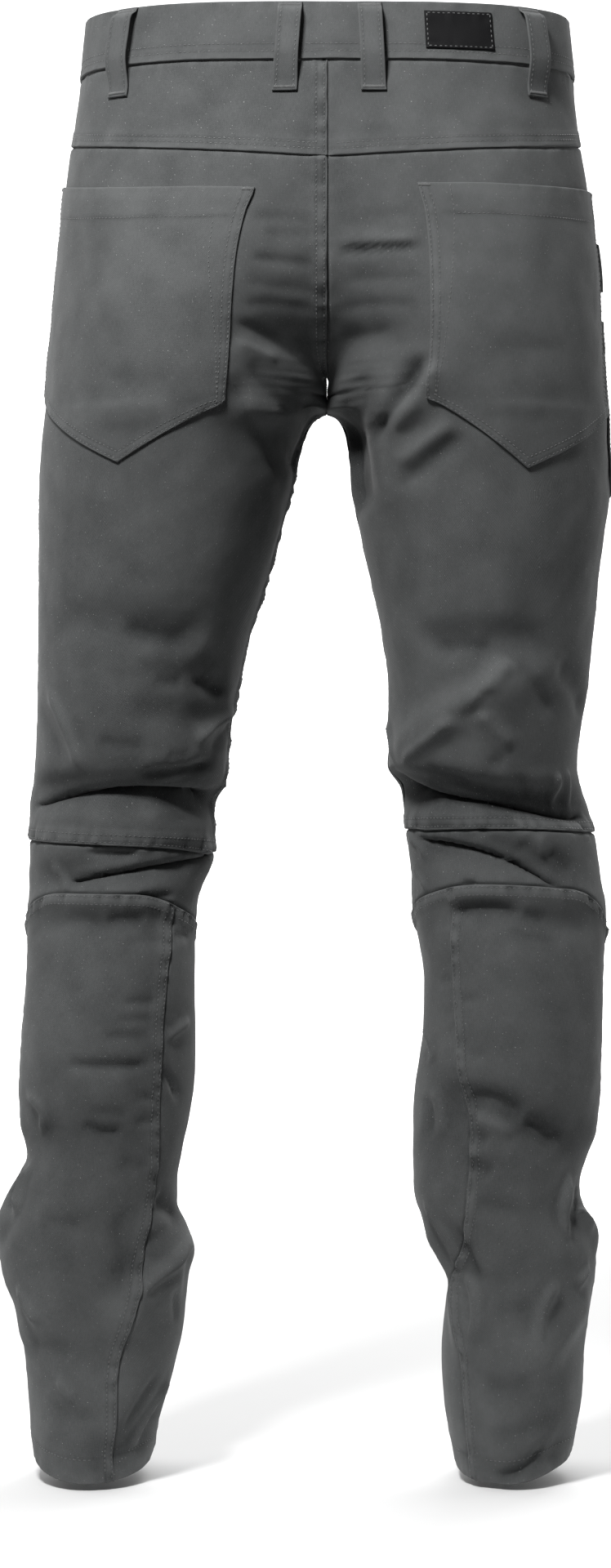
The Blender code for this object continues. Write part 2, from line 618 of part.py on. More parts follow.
def patches(cloth, label):
    """Label patch, fly flap and the pocket on the right thigh."""
    ends = [u_at("right", x, 0.0)[0] for x in LABEL_X]
    u, down = np.meshgrid(np.linspace(ends[0], ends[1], 6), np.linspace(LABEL_DOWN[0], LABEL_DOWN[1], 3))
    under = BAND_LIFT + PATCH_LIFT
    outer, inner = layer("right", u, down, (under + LABEL_CLOTH, under))
    wall("label_patch", outer, inner, label)

    edge = 2 - FLY_WIDTH / HALF_WAIST
    bottom = table("u down", *zip((edge, (edge + 2) / 2, 2), FLY_BOTTOM))
    u, down = lattice((level(edge), level(2.0)), (4,), (level(BAND_SEAM + 1), u_line(bottom)), (8,))
    under = PATCH_LIFT + FLY_LIFT
    outer, inner = layer("left", u, down, (under + PATCH_CLOTH, under))
    wall("fly_flap", outer, inner, cloth)

    back_u, front_u = THIGH_POCKET_U
    bottom = table("u down", (back_u, 296), (0.97, 306), (1.05, 309), (1.3, 309), (front_u, 303))
    top = table("u down", *zip(THIGH_POCKET_U, THIGH_POCKET_TOP))
    u, down = lattice((level(back_u), level(front_u)), (8,), (u_line(top), u_line(bottom)), (7,))
    under = PATCH_LIFT + THIGH_POCKET_LIFT
    outer, inner = layer("right", u, down, (under + PATCH_CLOTH, under))
    wall("thigh_pocket", outer, inner, cloth)


def button(metal):
    """Shank button on the waistband's overlap."""
    middle, under, over = 2.0, 0.0, 2.0
    rim = ((7.0, 0.0), (BUTTON_RADIUS, 0.8), (BUTTON_RADIUS, 1.8), (7.2, 2.6), (5.6, 2.2))
    u = np.array([[middle - BUTTON_INSET / HALF_WAIST]])
    face = BAND_LIFT * 2 + CLOTH + SEAM_GAP
    centre = layer("right", u, np.zeros_like(u), (face,))[0][0, 0] - np.array([0.0, BUTTON_CLEAR, 0.0])
    sides = BUTTON_SIDES
    turns = np.arange(sides) * 2 * math.pi / sides
    points = [centre - np.array([0.0, under, 0.0])]
    for radius, height in rim:
        for turn in turns:
            points.append(centre + np.array([radius * math.cos(turn), -height, radius * math.sin(turn)]))
    points.append(centre - np.array([0.0, over, 0.0]))
    rings = len(rim)
    faces = []
    for k in range(sides):
        n = (k + 1) % sides
        faces.append((0, 1 + k, 1 + n))
        for r in range(rings - 1):
            a, b = 1 + r * sides, 1 + (r + 1) * sides
            faces += [(a + k, b + k, b + n), (a + k, b + n, a + n)]
        last = 1 + (rings - 1) * sides
        faces.append((last + k, len(points) - 1, last + n))
    add_mesh("waist_button", points, faces, metal)


def main():
    for item in list(bpy.data.objects):
        bpy.data.objects.remove(item, do_unlink=True)
    cloth = make_material("cotton_cloth", (0.115, 0.119, 0.118), 0.85)
    label = make_material("label_weave", (0.02, 0.02, 0.022), 0.6)
    metal = make_material("button_metal", (0.25, 0.25, 0.26), 0.35, 1.0)
    for side in ("left", "right"):
        back_pieces(side, cloth)
        front_pieces(side, cloth)
    waistband(cloth)
    belt_loops(cloth)
    patches(cloth, label)
    button(metal)


main()
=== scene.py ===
"""Looks of the motorcycle trousers: creased cloth, seams, stitches, label, button, camera and lights.

The cloth follows the same sections and seams as the solids. Tables are in millimetres, and "down" is
measured from the origin. The front faces -Y and the wearer's left leg is at +X.
"""

import math

import bpy
import numpy as np
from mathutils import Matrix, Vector


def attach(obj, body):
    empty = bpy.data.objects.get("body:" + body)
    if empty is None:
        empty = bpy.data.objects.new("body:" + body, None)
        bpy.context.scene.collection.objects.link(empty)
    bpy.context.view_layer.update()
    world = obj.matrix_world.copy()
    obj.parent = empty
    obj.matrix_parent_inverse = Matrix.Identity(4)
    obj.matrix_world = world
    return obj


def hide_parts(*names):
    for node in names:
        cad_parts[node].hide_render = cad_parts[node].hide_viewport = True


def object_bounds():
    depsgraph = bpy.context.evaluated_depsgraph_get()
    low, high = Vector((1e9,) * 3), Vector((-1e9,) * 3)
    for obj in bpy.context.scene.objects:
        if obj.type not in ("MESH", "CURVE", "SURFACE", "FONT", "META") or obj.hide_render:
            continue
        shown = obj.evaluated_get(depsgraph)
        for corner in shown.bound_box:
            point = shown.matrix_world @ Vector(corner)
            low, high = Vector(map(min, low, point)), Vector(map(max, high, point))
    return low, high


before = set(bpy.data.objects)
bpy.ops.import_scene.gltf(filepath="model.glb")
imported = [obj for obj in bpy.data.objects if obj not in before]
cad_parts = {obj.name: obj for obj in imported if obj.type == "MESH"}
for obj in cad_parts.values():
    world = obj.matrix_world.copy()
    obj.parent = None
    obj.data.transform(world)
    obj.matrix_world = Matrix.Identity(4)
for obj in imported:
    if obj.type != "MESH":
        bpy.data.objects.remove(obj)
CAD_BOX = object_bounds()

MM = 0.001

# Driving sizes
BAND_TOP = -20.0
BAND_SEAM = 20.0
CROTCH = 241.0
CROTCH_Y = 5.0
HEM = 974.0
CROTCH_LINES = np.sign(np.arange(-14, 15)) * (np.arange(-14, 15) / 3.5) ** 2
CLOTH = 1.6
BAND_LIFT = 1.0
PATCH_LIFT = 0.35
PATCH_CLOTH = 1.3
SEAM_GAP = 0.3
HALF_WAIST = 223.0
FRONT_OVERLAP = 22.0
LOOP_WIDTH = 16.0
LOOP_CLOTH = 2.0
LOOP_STEP = 0.7
LABEL_X = (65.5, 111.0)
LABEL_DOWN = (-13.5, 12.5)
LABEL_CLOTH = 1.0
FLY_WIDTH = 36.0
FLY_BOTTOM = (150.0, 166.0, 172.0)
FLY_LIFT = 0.8
THIGH_POCKET_U = (0.935, 1.37)
THIGH_POCKET_TOP = (188.0, 180.0)
THIGH_POCKET_LIFT = 0.6
BUTTON_CLEAR = 0.8
BUTTON_INSET = 10.0
BUTTON_SIDES = 20

# Shape controls
CREASE_ROUNDING = 22.0
LEDGE_REACH = 34.0
LEDGE_SHIFTS = (-18.0, -12.0, -6.0, 0.0, 6.0, 12.0, 18.0)
WAIST_ROUNDNESS = 0.78
SECTION_STEPS = 32
FRONT_WAIST_DROP = 14.0
BACK_WAIST_DROP = 1.5
HEM_TILT = 0.18
HEM_SLANT = {"left": 0.0, "right": 0.12}
HEM_MIDDLE = 130.0
HEM_TILT_START = 850.0
WAIST_TILT_END = 150.0
CREASE_HALF_TURN = 210.0
CROTCH_REACH = 0.35
THIGH_ROW = 470.0
BAND_SIDE_GAP = 0.0006
OVERLAP_START = 1.92


def table(columns, *rows):
    """Named columns from rows of numbers."""
    values = np.array(rows, float)
    return {name: values[:, i] for i, name in enumerate(columns.split())}


# Outline of each leg seen from behind: distances from the centre line
LEGS = {
    "left": table(
        "down outer inner",
        (-20, 165.5, 0), (20, 170, 0), (65, 177, 0), (98, 181.5, 0), (150, 186, 0),
        (200, 192.5, 0), (241, 195.5, 0), (243, 195.8, -1.6), (250, 196.7, -2.2), (253, 197.1, 4.5),
        (258, 197.7, 9.5), (269, 199, 15), (303, 200.6, 23.4),
        (337, 200.6, 34), (372, 200.6, 44), (406, 200.6, 54), (440, 200.8, 61.5), (474, 202, 67.3),
        (508, 204.6, 70), (523, 207, 78), (560, 207.5, 80), (577, 208, 87), (594, 209.2, 91.5),
        (645, 210.3, 92.9), (700, 213.2, 93), (740, 214, 96.5), (765, 209.2, 101.5), (782, 214.3, 104.5),
        (799, 219.5, 105), (816, 226, 98), (833, 228, 93), (850, 225.7, 97), (885, 213.8, 100),
        (919, 209.2, 107), (956, 207, 117), (974, 205.2, 120)),
    "right": table(
        "down outer inner",
        (-20, 166.4, 0), (20, 171, 0), (65, 176.5, 0), (98, 182, 0), (150, 188, 0),
        (200, 191, 0), (241, 194, 0), (243, 194.3, -1.6), (250, 195.3, -2.2), (253, 195.5, 4.5),
        (258, 195.7, 9), (269, 196.2, 13.5), (303, 197.8, 17),
        (337, 193.8, 24.5), (372, 188.7, 32), (406, 185.8, 39.5), (440, 183, 43.9), (474, 177.3, 44),
        (495, 175, 43), (512, 178.5, 52), (543, 187, 55), (577, 192.7, 58.7), (594, 195.5, 59),
        (620, 194.5, 64), (645, 193.8, 66.7), (680, 192.7, 65.6), (714, 191, 61.6), (748, 188, 59.9),
        (768, 181, 60), (785, 176.7, 60.3), (799, 177.5, 62.7), (816, 184, 71.3), (833, 188, 80.4),
        (850, 187.5, 86.5), (868, 184.5, 83.5), (902, 180.1, 80.4), (936, 177.8, 81.5), (974, 170, 88.4)),
}

# Depth of the sections: back and front y, side seam y, and where the back is deepest between the edges
DEPTH = table(
    "down back front side apex",
    (-20, 107, -101, 2, 0.15), (20, 111, -104, 2, 0.18), (65, 117, -107, 2, 0.26),
    (100, 122, -108, 3, 0.33), (150, 128, -107, 4, 0.42), (190, 130, -104, 5, 0.46),
    (241, 125, -98, 5, 0.50), (303, 112, -94, 5, 0.50), (372, 98, -90, 3, 0.50),
    (440, 86, -88, 0, 0.50), (500, 75, -88, -4, 0.50), (530, 64, -89, -7, 0.50),
    (560, 60, -89, -8, 0.50), (594, 64, -83, -5, 0.50), (645, 74, -71, 2, 0.50),
    (700, 80, -63, 6, 0.50), (765, 78, -63, 6, 0.50), (816, 76, -69, 4, 0.50),
    (868, 72, -76, 0, 0.50), (919, 70, -82, -4, 0.50), (974, 70, -88, -6, 0.50))

# Centre back and centre front seams: y at each height above the crotch
CENTRE = table(
    "rise back front",
    (0, 5, 5), (8, 33, -20), (32, 76, -58), (60, 103, -84), (100, 117, -100),
    (150, 120, -106), (200, 116, -106), (261, 107, -101))

# Seams round each leg: u is 0 at the inner edge of the back, 1 at the side, 2 at the front's inner edge
YOKE_SEAM = table("u down", (0, 87), (0.3, 83), (0.6, 77), (0.8, 71), (1, 65))
POCKET_TOP = {
    "left": table("u down", (0, 110), (0.5, 107), (1, 93)),
    "right": table("u down", (0, 106), (0.5, 105), (1, 98)),
}
POCKET_BOTTOM = {
    "left": table("u down", (0, CROTCH), (0.396, 251), (0.6, 292), (1, 236)),
    "right": table("u down", (0, CROTCH), (0.399, 247), (0.59, 296), (1, 243)),
}
POCKET_EDGE = {
    "left": table("down x", (60, 46), (109, 48.7), (125, 55), (158, 62), (205, 66), (251, 69)),
    "right": table("down x", (60, 58), (106, 60), (125, 65), (158, 68), (205, 69.5), (247, 67)),
}
POCKET_TIP = {"left": 141.0, "right": 135.0}
POCKET_OUTER = {"left": 0.985, "right": 0.92}
KNEE_TOP = {
    "left": table("u down", (0, 556), (0.5, 551), (1, 547), (1.5, 545), (2, 556)),
    "right": table("u down", (0, 540), (0.5, 539.5), (1, 542), (1.5, 540), (2, 540)),
}
KNEE_BOTTOM = {
    "left": table("u down", (0, 606), (0.15, 597), (0.4, 584), (0.7, 583), (1, 603), (1.5, 640), (2, 606)),
    "right": table("u down", (0, 598), (0.15, 586), (0.4, 577), (0.7, 580), (1, 609), (1.5, 645), (2, 598)),
}
CALF_SEAM = {
    "left": table("down x", (580, 104), (611, 106), (640, 110), (700, 113), (760, 116), (800, 120),
                  (840, 126), (870, 134), (910, 143), (980, 144)),
    "right": table("down x", (575, 82), (610, 84), (660, 87), (710, 89), (750, 95), (790, 95),
                   (830, 92), (870, 91), (910, 93), (980, 100)),
}
FRONT_POCKET = table("down u", (15, 1.48), (60, 1.36), (110, 1.19), (150, 1.06), (166, 1.02), (167, 1.0))

# Creases: from one end to the other through a middle point, in u and down, with depth inward and half width
CREASES = {
    "left": table(
        "u0 down0 u1 down1 u2 down2 depth width",
        (-0.08, 522, 0.5, 514, 1.03, 520, 11, 12),
        (0.05, 556, 0.5, 569, 0.95, 574, 6, 10),
        (0.15, 604, 0.5, 604, 0.9, 601, 5, 10),
        (0.05, 476, 0.3, 462, 0.6, 466, 4, 14),
        (0.3, 414, 0.5, 402, 0.85, 396, 4, 14),
        (0.15, 447, 0.3, 438, 0.55, 430, 3.5, 12),
        (0.25, 760, 0.6, 752, 0.95, 742, 5, 20),
        (0.86, 820, 1.0, 800, 1.2, 790, -6, 16),
        (0.1, 838, 0.3, 858, 0.5, 886, -7, 14),
        (0.55, 862, 0.75, 876, 0.95, 895, -4, 16),
        (0.1, 930, 0.3, 950, 0.6, 965, 5, 16),
        (1.15, 505, 1.5, 498, 1.85, 508, 6, 16),
        (1.2, 655, 1.5, 668, 1.8, 655, 6, 15),
        (1.1, 880, 1.5, 900, 1.9, 880, 7, 18),
        (1.2, 845, 1.5, 850, 1.8, 838, -5, 16),
        (1.5, 262, 1.75, 240, 1.95, 222, 4, 12)),
    "right": table(
        "u0 down0 u1 down1 u2 down2 depth width",
        (-0.05, 508, 0.4, 519, 1.03, 527, 11, 12),
        (0.1, 548, 0.45, 557, 0.8, 576, 6, 11),
        (0.15, 600, 0.5, 600, 0.85, 608, 5, 10),
        (0.08, 494, 0.4, 458, 0.72, 420, -6, 14),
        (0.68, 424, 0.8, 440, 0.92, 462, 4, 10),
        (0.25, 414, 0.45, 408, 0.7, 414, 4, 12),
        (0.15, 724, 0.5, 742, 0.9, 764, 7, 18),
        (0.1, 752, 0.35, 766, 0.6, 782, 4, 14),
        (0.75, 786, 0.85, 806, 0.98, 830, -6, 13),
        (0.05, 800, 0.15, 850, 0.3, 900, -6, 13),
        (0.5, 912, 0.65, 885, 0.9, 858, -5, 14),
        (0.3, 975, 0.55, 966, 0.8, 954, 5, 14),
        (1.15, 500, 1.5, 492, 1.85, 500, 6, 16),
        (1.2, 660, 1.5, 672, 1.8, 650, 6, 15),
        (1.1, 872, 1.5, 892, 1.9, 885, 7, 18),
        (1.2, 835, 1.5, 842, 1.8, 846, -5, 16),
        (1.5, 262, 1.75, 240, 1.95, 222, 4, 12)),
}

# Belt loops: side, distance from the centre line at the top and foot, front or back, room for the belt
BELT_LOOPS = (
    ("belt_loop_1", "left", 134.0, 142.0, "back", 7.4),
    ("belt_loop_2", "left", 25.0, 29.0, "back", 6.3),
    ("belt_loop_3", "right", 28.0, 31.0, "back", 6.3),
    ("belt_loop_4", "right", 134.0, 142.0, "back", 7.4),
    ("belt_loop_5", "left", 98.0, 101.0, "front", 7.0),
    ("belt_loop_6", "right", 98.0, 101.0, "front", 7.0),
)

# Small folds of the shown cloth: sharp troughs, or ridges where the depth is negative
WRINKLES = {
    "left": table(
        "u0 down0 u1 down1 u2 down2 depth width",
        (0.56, 402, 0.46, 409, 0.34, 413, 1.8, 8), (0.45, 439, 0.39, 441, 0.34, 440, 0.8, 6),
        (0.31, 435, 0.23, 442, 0.11, 447, 1.6, 7), (0.84, 437, 0.7, 474, 0.66, 503, -1.3, 5),
        (0.93, 448, 0.78, 475, 0.74, 500, 1, 7), (0, 455, 0.19, 470, 0.29, 481, -1.4, 6),
        (0, 459, 0.1, 475, 0.23, 489, 1.2, 6), (0.61, 478, 0.52, 482, 0.43, 483, 1.6, 9),
        (0.46, 504, 0.33, 499, 0.15, 493, 2.4, 5), (0.39, 489, 0.34, 490, 0.29, 486, 0.8, 5),
        (0.64, 497, 0.54, 494, 0.44, 496, 0.8, 8), (0.62, 555, 0.52, 556, 0.41, 555, 1.8, 4),
        (0.4, 585, 0.33, 585, 0.23, 586, 1.4, 4), (0.51, 602, 0.43, 600, 0.34, 602, 1.5, 5),
        (0.68, 602, 0.59, 600, 0.5, 602, 0.7, 5), (0.23, 612, 0.18, 613, 0.12, 614, 0.9, 4),
        (0.75, 531, 0.68, 536, 0.59, 534, 0.5, 6), (0.38, 531, 0.3, 533, 0.2, 530, 0.6, 6),
        (0.77, 564, 0.7, 573, 0.66, 584, -0.8, 4), (0.44, 619, 0.37, 615, 0.28, 617, 0.7, 6),
        (0.44, 657, 0.37, 657, 0.3, 658, 0.9, 4), (0.47, 670, 0.39, 669, 0.31, 670, 0.6, 4),
        (0.51, 681, 0.43, 680, 0.33, 682, 0.8, 5), (0.63, 699, 0.49, 700, 0.3, 700, 1.8, 5),
        (0.3, 701, 0.23, 713, 0.18, 727, 1.5, 4), (0.39, 722, 0.34, 723, 0.3, 722, 0.6, 4),
        (0.55, 732, 0.48, 732, 0.39, 734, 0.9, 6), (0.57, 739, 0.49, 745, 0.4, 744, 1.6, 5),
        (0.38, 739, 0.33, 739, 0.29, 738, 0.7, 4), (0.26, 684, 0.2, 678, 0.08, 672, -0.9, 4),
        (0.85, 721, 0.73, 732, 0.78, 750, -1.4, 5), (0.42, 764, 0.36, 769, 0.29, 768, 0.8, 6),
        (0.83, 769, 0.85, 789, 0.81, 805, -2.2, 5), (0.92, 775, 0.96, 791, 0.84, 808, 2.6, 4),
        (0.69, 800, 0.59, 808, 0.51, 807, 1.2, 9), (0, 822, 0.24, 839, 0.37, 862, -1.8, 5),
        (0, 808, 0.27, 819, 0.37, 841, 1.6, 8), (0.24, 791, 0.17, 799, 0.04, 806, 1.8, 7),
        (0.38, 797, 0.4, 825, 0.38, 854, 1.6, 9), (0.81, 853, 0.75, 867, 0.7, 877, -1.5, 5),
        (0.66, 910, 0.61, 917, 0.57, 922, -1.2, 4), (0.81, 886, 0.68, 892, 0.56, 891, 1.2, 8),
        (0.21, 853, 0.18, 866, 0.15, 881, 1.2, 4), (0.09, 916, 0.24, 940, 0.29, 959, -1.8, 5),
        (0.22, 908, 0.32, 927, 0.36, 944, 1.6, 6), (0.72, 927, 0.6, 931, 0.48, 930, 1.4, 8),
        (1.45, 250, 1.7, 232, 1.93, 205, 1.8, 7), (1.3, 275, 1.65, 262, 1.96, 240, 2, 8),
        (1.4, 302, 1.7, 292, 1.97, 268, 1.3, 7), (1.2, 215, 1.4, 222, 1.65, 214, 1, 8),
        (1.55, 205, 1.75, 196, 1.93, 180, 1.1, 6), (1.2, 398, 1.5, 410, 1.75, 402, 1.4, 9),
        (1.3, 452, 1.55, 462, 1.85, 448, 1.6, 7), (1.15, 486, 1.5, 478, 1.8, 488, 1.4, 6),
        (1.25, 520, 1.5, 528, 1.8, 518, 1.5, 6), (1.2, 570, 1.5, 578, 1.8, 570, 1.1, 8),
        (1.2, 600, 1.35, 615, 1.4, 635, -1, 6), (1.2, 692, 1.5, 703, 1.75, 690, 1.6, 8),
        (1.3, 742, 1.55, 735, 1.85, 745, 1.4, 8), (1.15, 790, 1.4, 800, 1.65, 794, 1.3, 9),
        (1.3, 860, 1.55, 868, 1.9, 858, 1.8, 7), (1.1, 905, 1.4, 918, 1.7, 908, 2, 8),
        (1.2, 936, 1.5, 943, 1.8, 933, 1.8, 7), (1.05, 340, 1.1, 380, 1.08, 420, -1, 7),
        (1.1, 700, 1.15, 730, 1.1, 760, -1.2, 6), (1.6, 950, 1.8, 940, 1.95, 930, -1.3, 5)),
    "right": table(
        "u0 down0 u1 down1 u2 down2 depth width",
        (0.55, 423, 0.49, 438, 0.4, 462, -1.6, 7), (0.4, 462, 0.32, 478, 0.18, 498, -1.6, 6),
        (0.55, 423, 0.62, 443, 0.72, 463, 1.8, 8), (0.46, 458, 0.51, 471, 0.58, 485, -1.3, 6),
        (0.31, 418, 0.42, 416, 0.51, 418, 1.4, 7), (0.49, 442, 0.46, 454, 0.4, 470, 1.3, 8),
        (0, 464, 0.07, 478, 0.15, 494, -1, 4), (0.5, 492, 0.53, 494, 0.55, 495, 1, 6),
        (0.59, 501, 0.6, 510, 0.62, 518, 0.9, 5), (0.74, 500, 0.74, 511, 0.71, 522, -1.1, 4),
        (0.81, 497, 0.8, 510, 0.83, 522, -1, 4), (0.29, 494, 0.35, 503, 0.44, 506, 1.2, 7),
        (0.41, 541, 0.43, 541, 0.46, 541, 1.1, 3), (0.65, 554, 0.69, 560, 0.74, 570, 1.2, 6),
        (0.54, 551, 0.56, 551, 0.59, 550, 0.7, 4), (0.33, 576, 0.36, 576, 0.39, 576, 1, 3),
        (0.26, 599, 0.39, 593, 0.54, 596, 2.6, 5), (0.53, 596, 0.57, 598, 0.61, 602, 1, 5),
        (0.28, 609, 0.31, 612, 0.35, 614, 0.7, 5), (0.04, 542, 0.14, 551, 0.17, 561, -0.9, 3),
        (0.04, 564, 0.13, 573, 0.17, 584, -0.9, 3), (0.62, 542, 0.62, 551, 0.63, 559, -0.8, 4),
        (0.47, 609, 0.55, 614, 0.66, 617, 0.9, 7), (0, 676, 0.15, 689, 0.14, 702, -1, 3),
        (0.19, 717, 0.23, 733, 0.24, 752, -1.3, 3), (0.14, 722, 0.18, 736, 0.16, 754, 1.6, 4),
        (0.2, 642, 0.23, 643, 0.27, 642, 0.6, 4), (0.28, 655, 0.33, 656, 0.38, 655, 0.6, 4),
        (0.3, 692, 0.36, 693, 0.42, 692, 0.6, 5), (0.33, 725, 0.44, 723, 0.56, 738, 3.6, 9),
        (0.54, 735, 0.62, 745, 0.7, 758, 3.4, 8), (0.35, 744, 0.39, 749, 0.43, 755, 1.4, 6),
        (0.38, 773, 0.42, 771, 0.47, 774, 1.4, 7), (0.36, 735, 0.44, 740, 0.53, 748, -1.2, 7),
        (0.4, 791, 0.48, 797, 0.6, 796, 1.6, 10), (0.15, 791, 0.21, 819, 0.21, 842, -1.6, 5),
        (0.21, 842, 0.31, 867, 0.29, 891, -1.6, 4), (0.31, 808, 0.29, 830, 0.31, 853, 1.8, 7),
        (0.8, 776, 0.74, 797, 0.69, 822, -1.8, 4), (0.87, 783, 0.79, 797, 0.77, 814, 1.6, 4),
        (0.75, 799, 0.82, 807, 0.87, 818, -1.4, 4), (0.83, 840, 0.76, 847, 0.7, 853, -1.3, 4),
        (0.62, 848, 0.57, 864, 0.57, 890, -1.6, 5), (0.37, 864, 0.46, 867, 0.53, 861, 1, 8),
        (0.4, 967, 0.52, 964, 0.64, 950, 1.8, 5), (0.36, 908, 0.46, 914, 0.57, 908, 1.5, 9),
        (0.4, 936, 0.52, 940, 0.69, 931, 1.4, 8), (1.42, 246, 1.68, 235, 1.94, 210, 1.7, 7),
        (1.35, 282, 1.68, 266, 1.96, 244, 2, 8), (1.45, 296, 1.72, 288, 1.97, 272, 1.2, 7),
        (1.5, 200, 1.72, 192, 1.93, 176, 1.1, 6), (1.45, 330, 1.65, 340, 1.85, 330, 1, 9),
        (1.25, 392, 1.5, 402, 1.8, 396, 1.4, 9), (1.2, 446, 1.5, 455, 1.8, 442, 1.6, 7),
        (1.2, 480, 1.5, 471, 1.85, 482, 1.4, 6), (1.2, 516, 1.5, 522, 1.8, 512, 1.5, 6),
        (1.25, 574, 1.5, 582, 1.75, 572, 1.1, 8), (1.6, 600, 1.65, 618, 1.6, 640, -1, 6),
        (1.25, 684, 1.5, 696, 1.8, 686, 1.6, 8), (1.2, 734, 1.5, 742, 1.8, 736, 1.4, 8),
        (1.2, 786, 1.45, 794, 1.7, 784, 1.3, 9), (1.2, 856, 1.5, 864, 1.8, 860, 1.8, 7),
        (1.15, 898, 1.45, 910, 1.75, 904, 2, 8), (1.25, 930, 1.5, 938, 1.8, 934, 1.8, 7),
        (1.08, 350, 1.12, 390, 1.1, 430, -1, 7), (1.12, 690, 1.16, 722, 1.12, 755, -1.2, 6),
        (1.1, 955, 1.3, 945, 1.5, 950, -1.3, 5)),
}

# Small folds of the seat, placed by distances from the centre line instead
SEAT_FOLDS = {
    "left": table(
        "x0 down0 x1 down1 x2 down2 depth width",
        (53, 130, 30, 129, 4, 131, 0.6, 3.6), (44, 141, 27, 140, 4, 141, 0.4, 3.2),
        (55, 156, 30, 158, 4, 160, 0.9, 3.8), (59, 171, 33, 175, 4, 176, 0.4, 4),
        (60, 189, 36, 186, 4, 189, 0.5, 4.5), (66, 199, 40, 208, 8, 228, 0.8, 5),
        (65, 211, 48, 217, 31, 223, -0.9, 7), (65, 231, 48, 269, 26, 312, 2.6, 8),
        (55, 224, 36, 247, 12, 268, 1.8, 8), (58, 239, 44, 278, 34, 311, -0.9, 8),
        (38, 256, 26, 278, 18, 294, 1.4, 8), (153, 231, 126, 239, 96, 235, 0.9, 10),
        (159, 267, 132, 271, 101, 264, 0.8, 10),
        (11, 239, 14, 267, 19, 300, 2.2, 11),
        (8, 257, 36, 257, 68, 252, -1.3, 13)),
    "right": table(
        "x0 down0 x1 down1 x2 down2 depth width",
        (4, 125, 37, 127, 64, 125, 0.4, 3.2), (4, 132, 24, 132, 43, 132, 0.6, 3.4),
        (4, 151, 35, 150, 66, 149, 1.7, 3.8), (4, 144, 35, 144, 64, 144, -0.6, 4),
        (4, 171, 35, 169, 66, 171, 0.5, 4), (4, 189, 35, 186, 65, 189, 0.6, 4.5),
        (6, 206, 26, 205, 48, 203, 0.7, 6), (67, 217, 48, 248, 27, 279, 3.4, 7),
        (76, 223, 62, 247, 43, 273, -1.2, 7), (21, 228, 25, 245, 19, 267, 1.6, 8),
        (94, 271, 70, 289, 44, 311, 2.6, 8), (87, 264, 65, 280, 48, 294, -1.2, 7),
        (103, 256, 130, 263, 158, 258, 0.8, 10), (109, 212, 136, 217, 163, 213, 0.7, 10),
        (15, 256, 21, 289, 24, 324, 3.2, 13),
        (10, 244, 17, 286, 22, 328, 4.5, 9.5), (30, 257, 48, 256, 72, 251, -1.2, 13)),
}

# Deep folds at the back of the knee, whose upper side hangs over
OVERHANGS = {
    "left": table(
        "u0 down0 u1 down1 u2 down2 depth width lean",
        (0.94, 524, 0.51, 513, 0.06, 520, 8.5, 5, 5), (0.68, 575, 0.41, 565, 0, 555, 5, 4.2, 3)),
    "right": table(
        "u0 down0 u1 down1 u2 down2 depth width lean",
        (0.08, 507, 0.47, 524, 0.9, 530, 8.5, 5, 5), (0.14, 546, 0.44, 555, 0.68, 581, 5, 4.2, 3)),
}

# How deep the small folds are against their table
FOLD_DEPTH = 1.7
WIDE_FOLD_DEPTH = 1.35
RIDGE_DEPTH = 2.6

# Unevenness of the worn cloth: feature size, height and seed
UNEVENNESS = ((70.0, 1.3, 2), (38.0, 0.9, 3), (15.0, 0.36, 5), (6.5, 0.1, 7))

# Edge styles: how far the doubled cloth stands out, its width, the stitch rows in it, and its puckers
EDGES = {
    "plain": (0.0, 1.0, (), 0.45),
    "felled": (0.85, 9.6, (2.0, 7.4), 1.8),
    "yoke": (0.6, 10.4, (4.6, 8.2), 0.5),
    "patch": (0.3, 9.0, (2.0, 7.2), 0.4),
    "turned": (0.4, 22.5, (21.6,), 0.35),
    "hem": (0.35, 19.0, (16.5,), 0.6),
    "band": (0.3, 40.0, (5.4, 10.4), 0.35),
    "loop": (0.0, 1.0, (2.6,), 0.0),
}

# Edges sewn under a neighbour: distance from the edge, how far it runs on beyond the seam, and how deep
TUCK = table("away beyond deep", (0, 2.0, 2.5), (0.35, 0.2, 1.6), (0.9, 0, 0.8), (1.8, 0, 0.2), (3.1, 0, 0))
TUCKED_CLOTH = 0.5

# Stitches: pitch, length, width and height of one, and of those in a bar tack
STITCH = (3.3, 2.1, 0.7, 0.34)
TACK = (0.62, 2.6, 0.62, 0.5)


def curve(x, xs, ys):
    """Smooth curve through the points that never overshoots them."""
    x = np.clip(x, xs[0], xs[-1])
    steps = np.diff(xs)
    rises = np.diff(ys) / steps
    slopes = np.empty_like(ys)
    slopes[0], slopes[-1] = rises[0], rises[-1]
    product = rises[:-1] * rises[1:]
    total = np.where(product > 0, rises[:-1] + rises[1:], 1.0)
    slopes[1:-1] = np.where(product > 0, 2 * product / total, 0.0)
    i = np.clip(np.searchsorted(xs, x, side="right") - 1, 0, len(steps) - 1)
    t = (x - xs[i]) / steps[i]
    rest = 1 - t
    return (ys[i] * (1 + 2 * t) * rest ** 2 + ys[i + 1] * (3 - 2 * t) * t ** 2
            + steps[i] * (slopes[i] * t * rest ** 2 - slopes[i + 1] * rest * t ** 2))


def ease(x):
    """Rises smoothly from 0 to 1 as x does."""
    x = np.clip(x, 0.0, 1.0)
    return x * x * (3 - 2 * x)


def leg_outline(side, down):
    """Outer and inner distance from the centre line."""
    leg = LEGS[side]
    below = leg["down"] >= CROTCH
    depth_below = np.sqrt(np.maximum(down - CROTCH, 0))
    inner = curve(depth_below, np.sqrt(leg["down"][below] - CROTCH), leg["inner"][below])
    return curve(down, leg["down"], leg["outer"]), inner


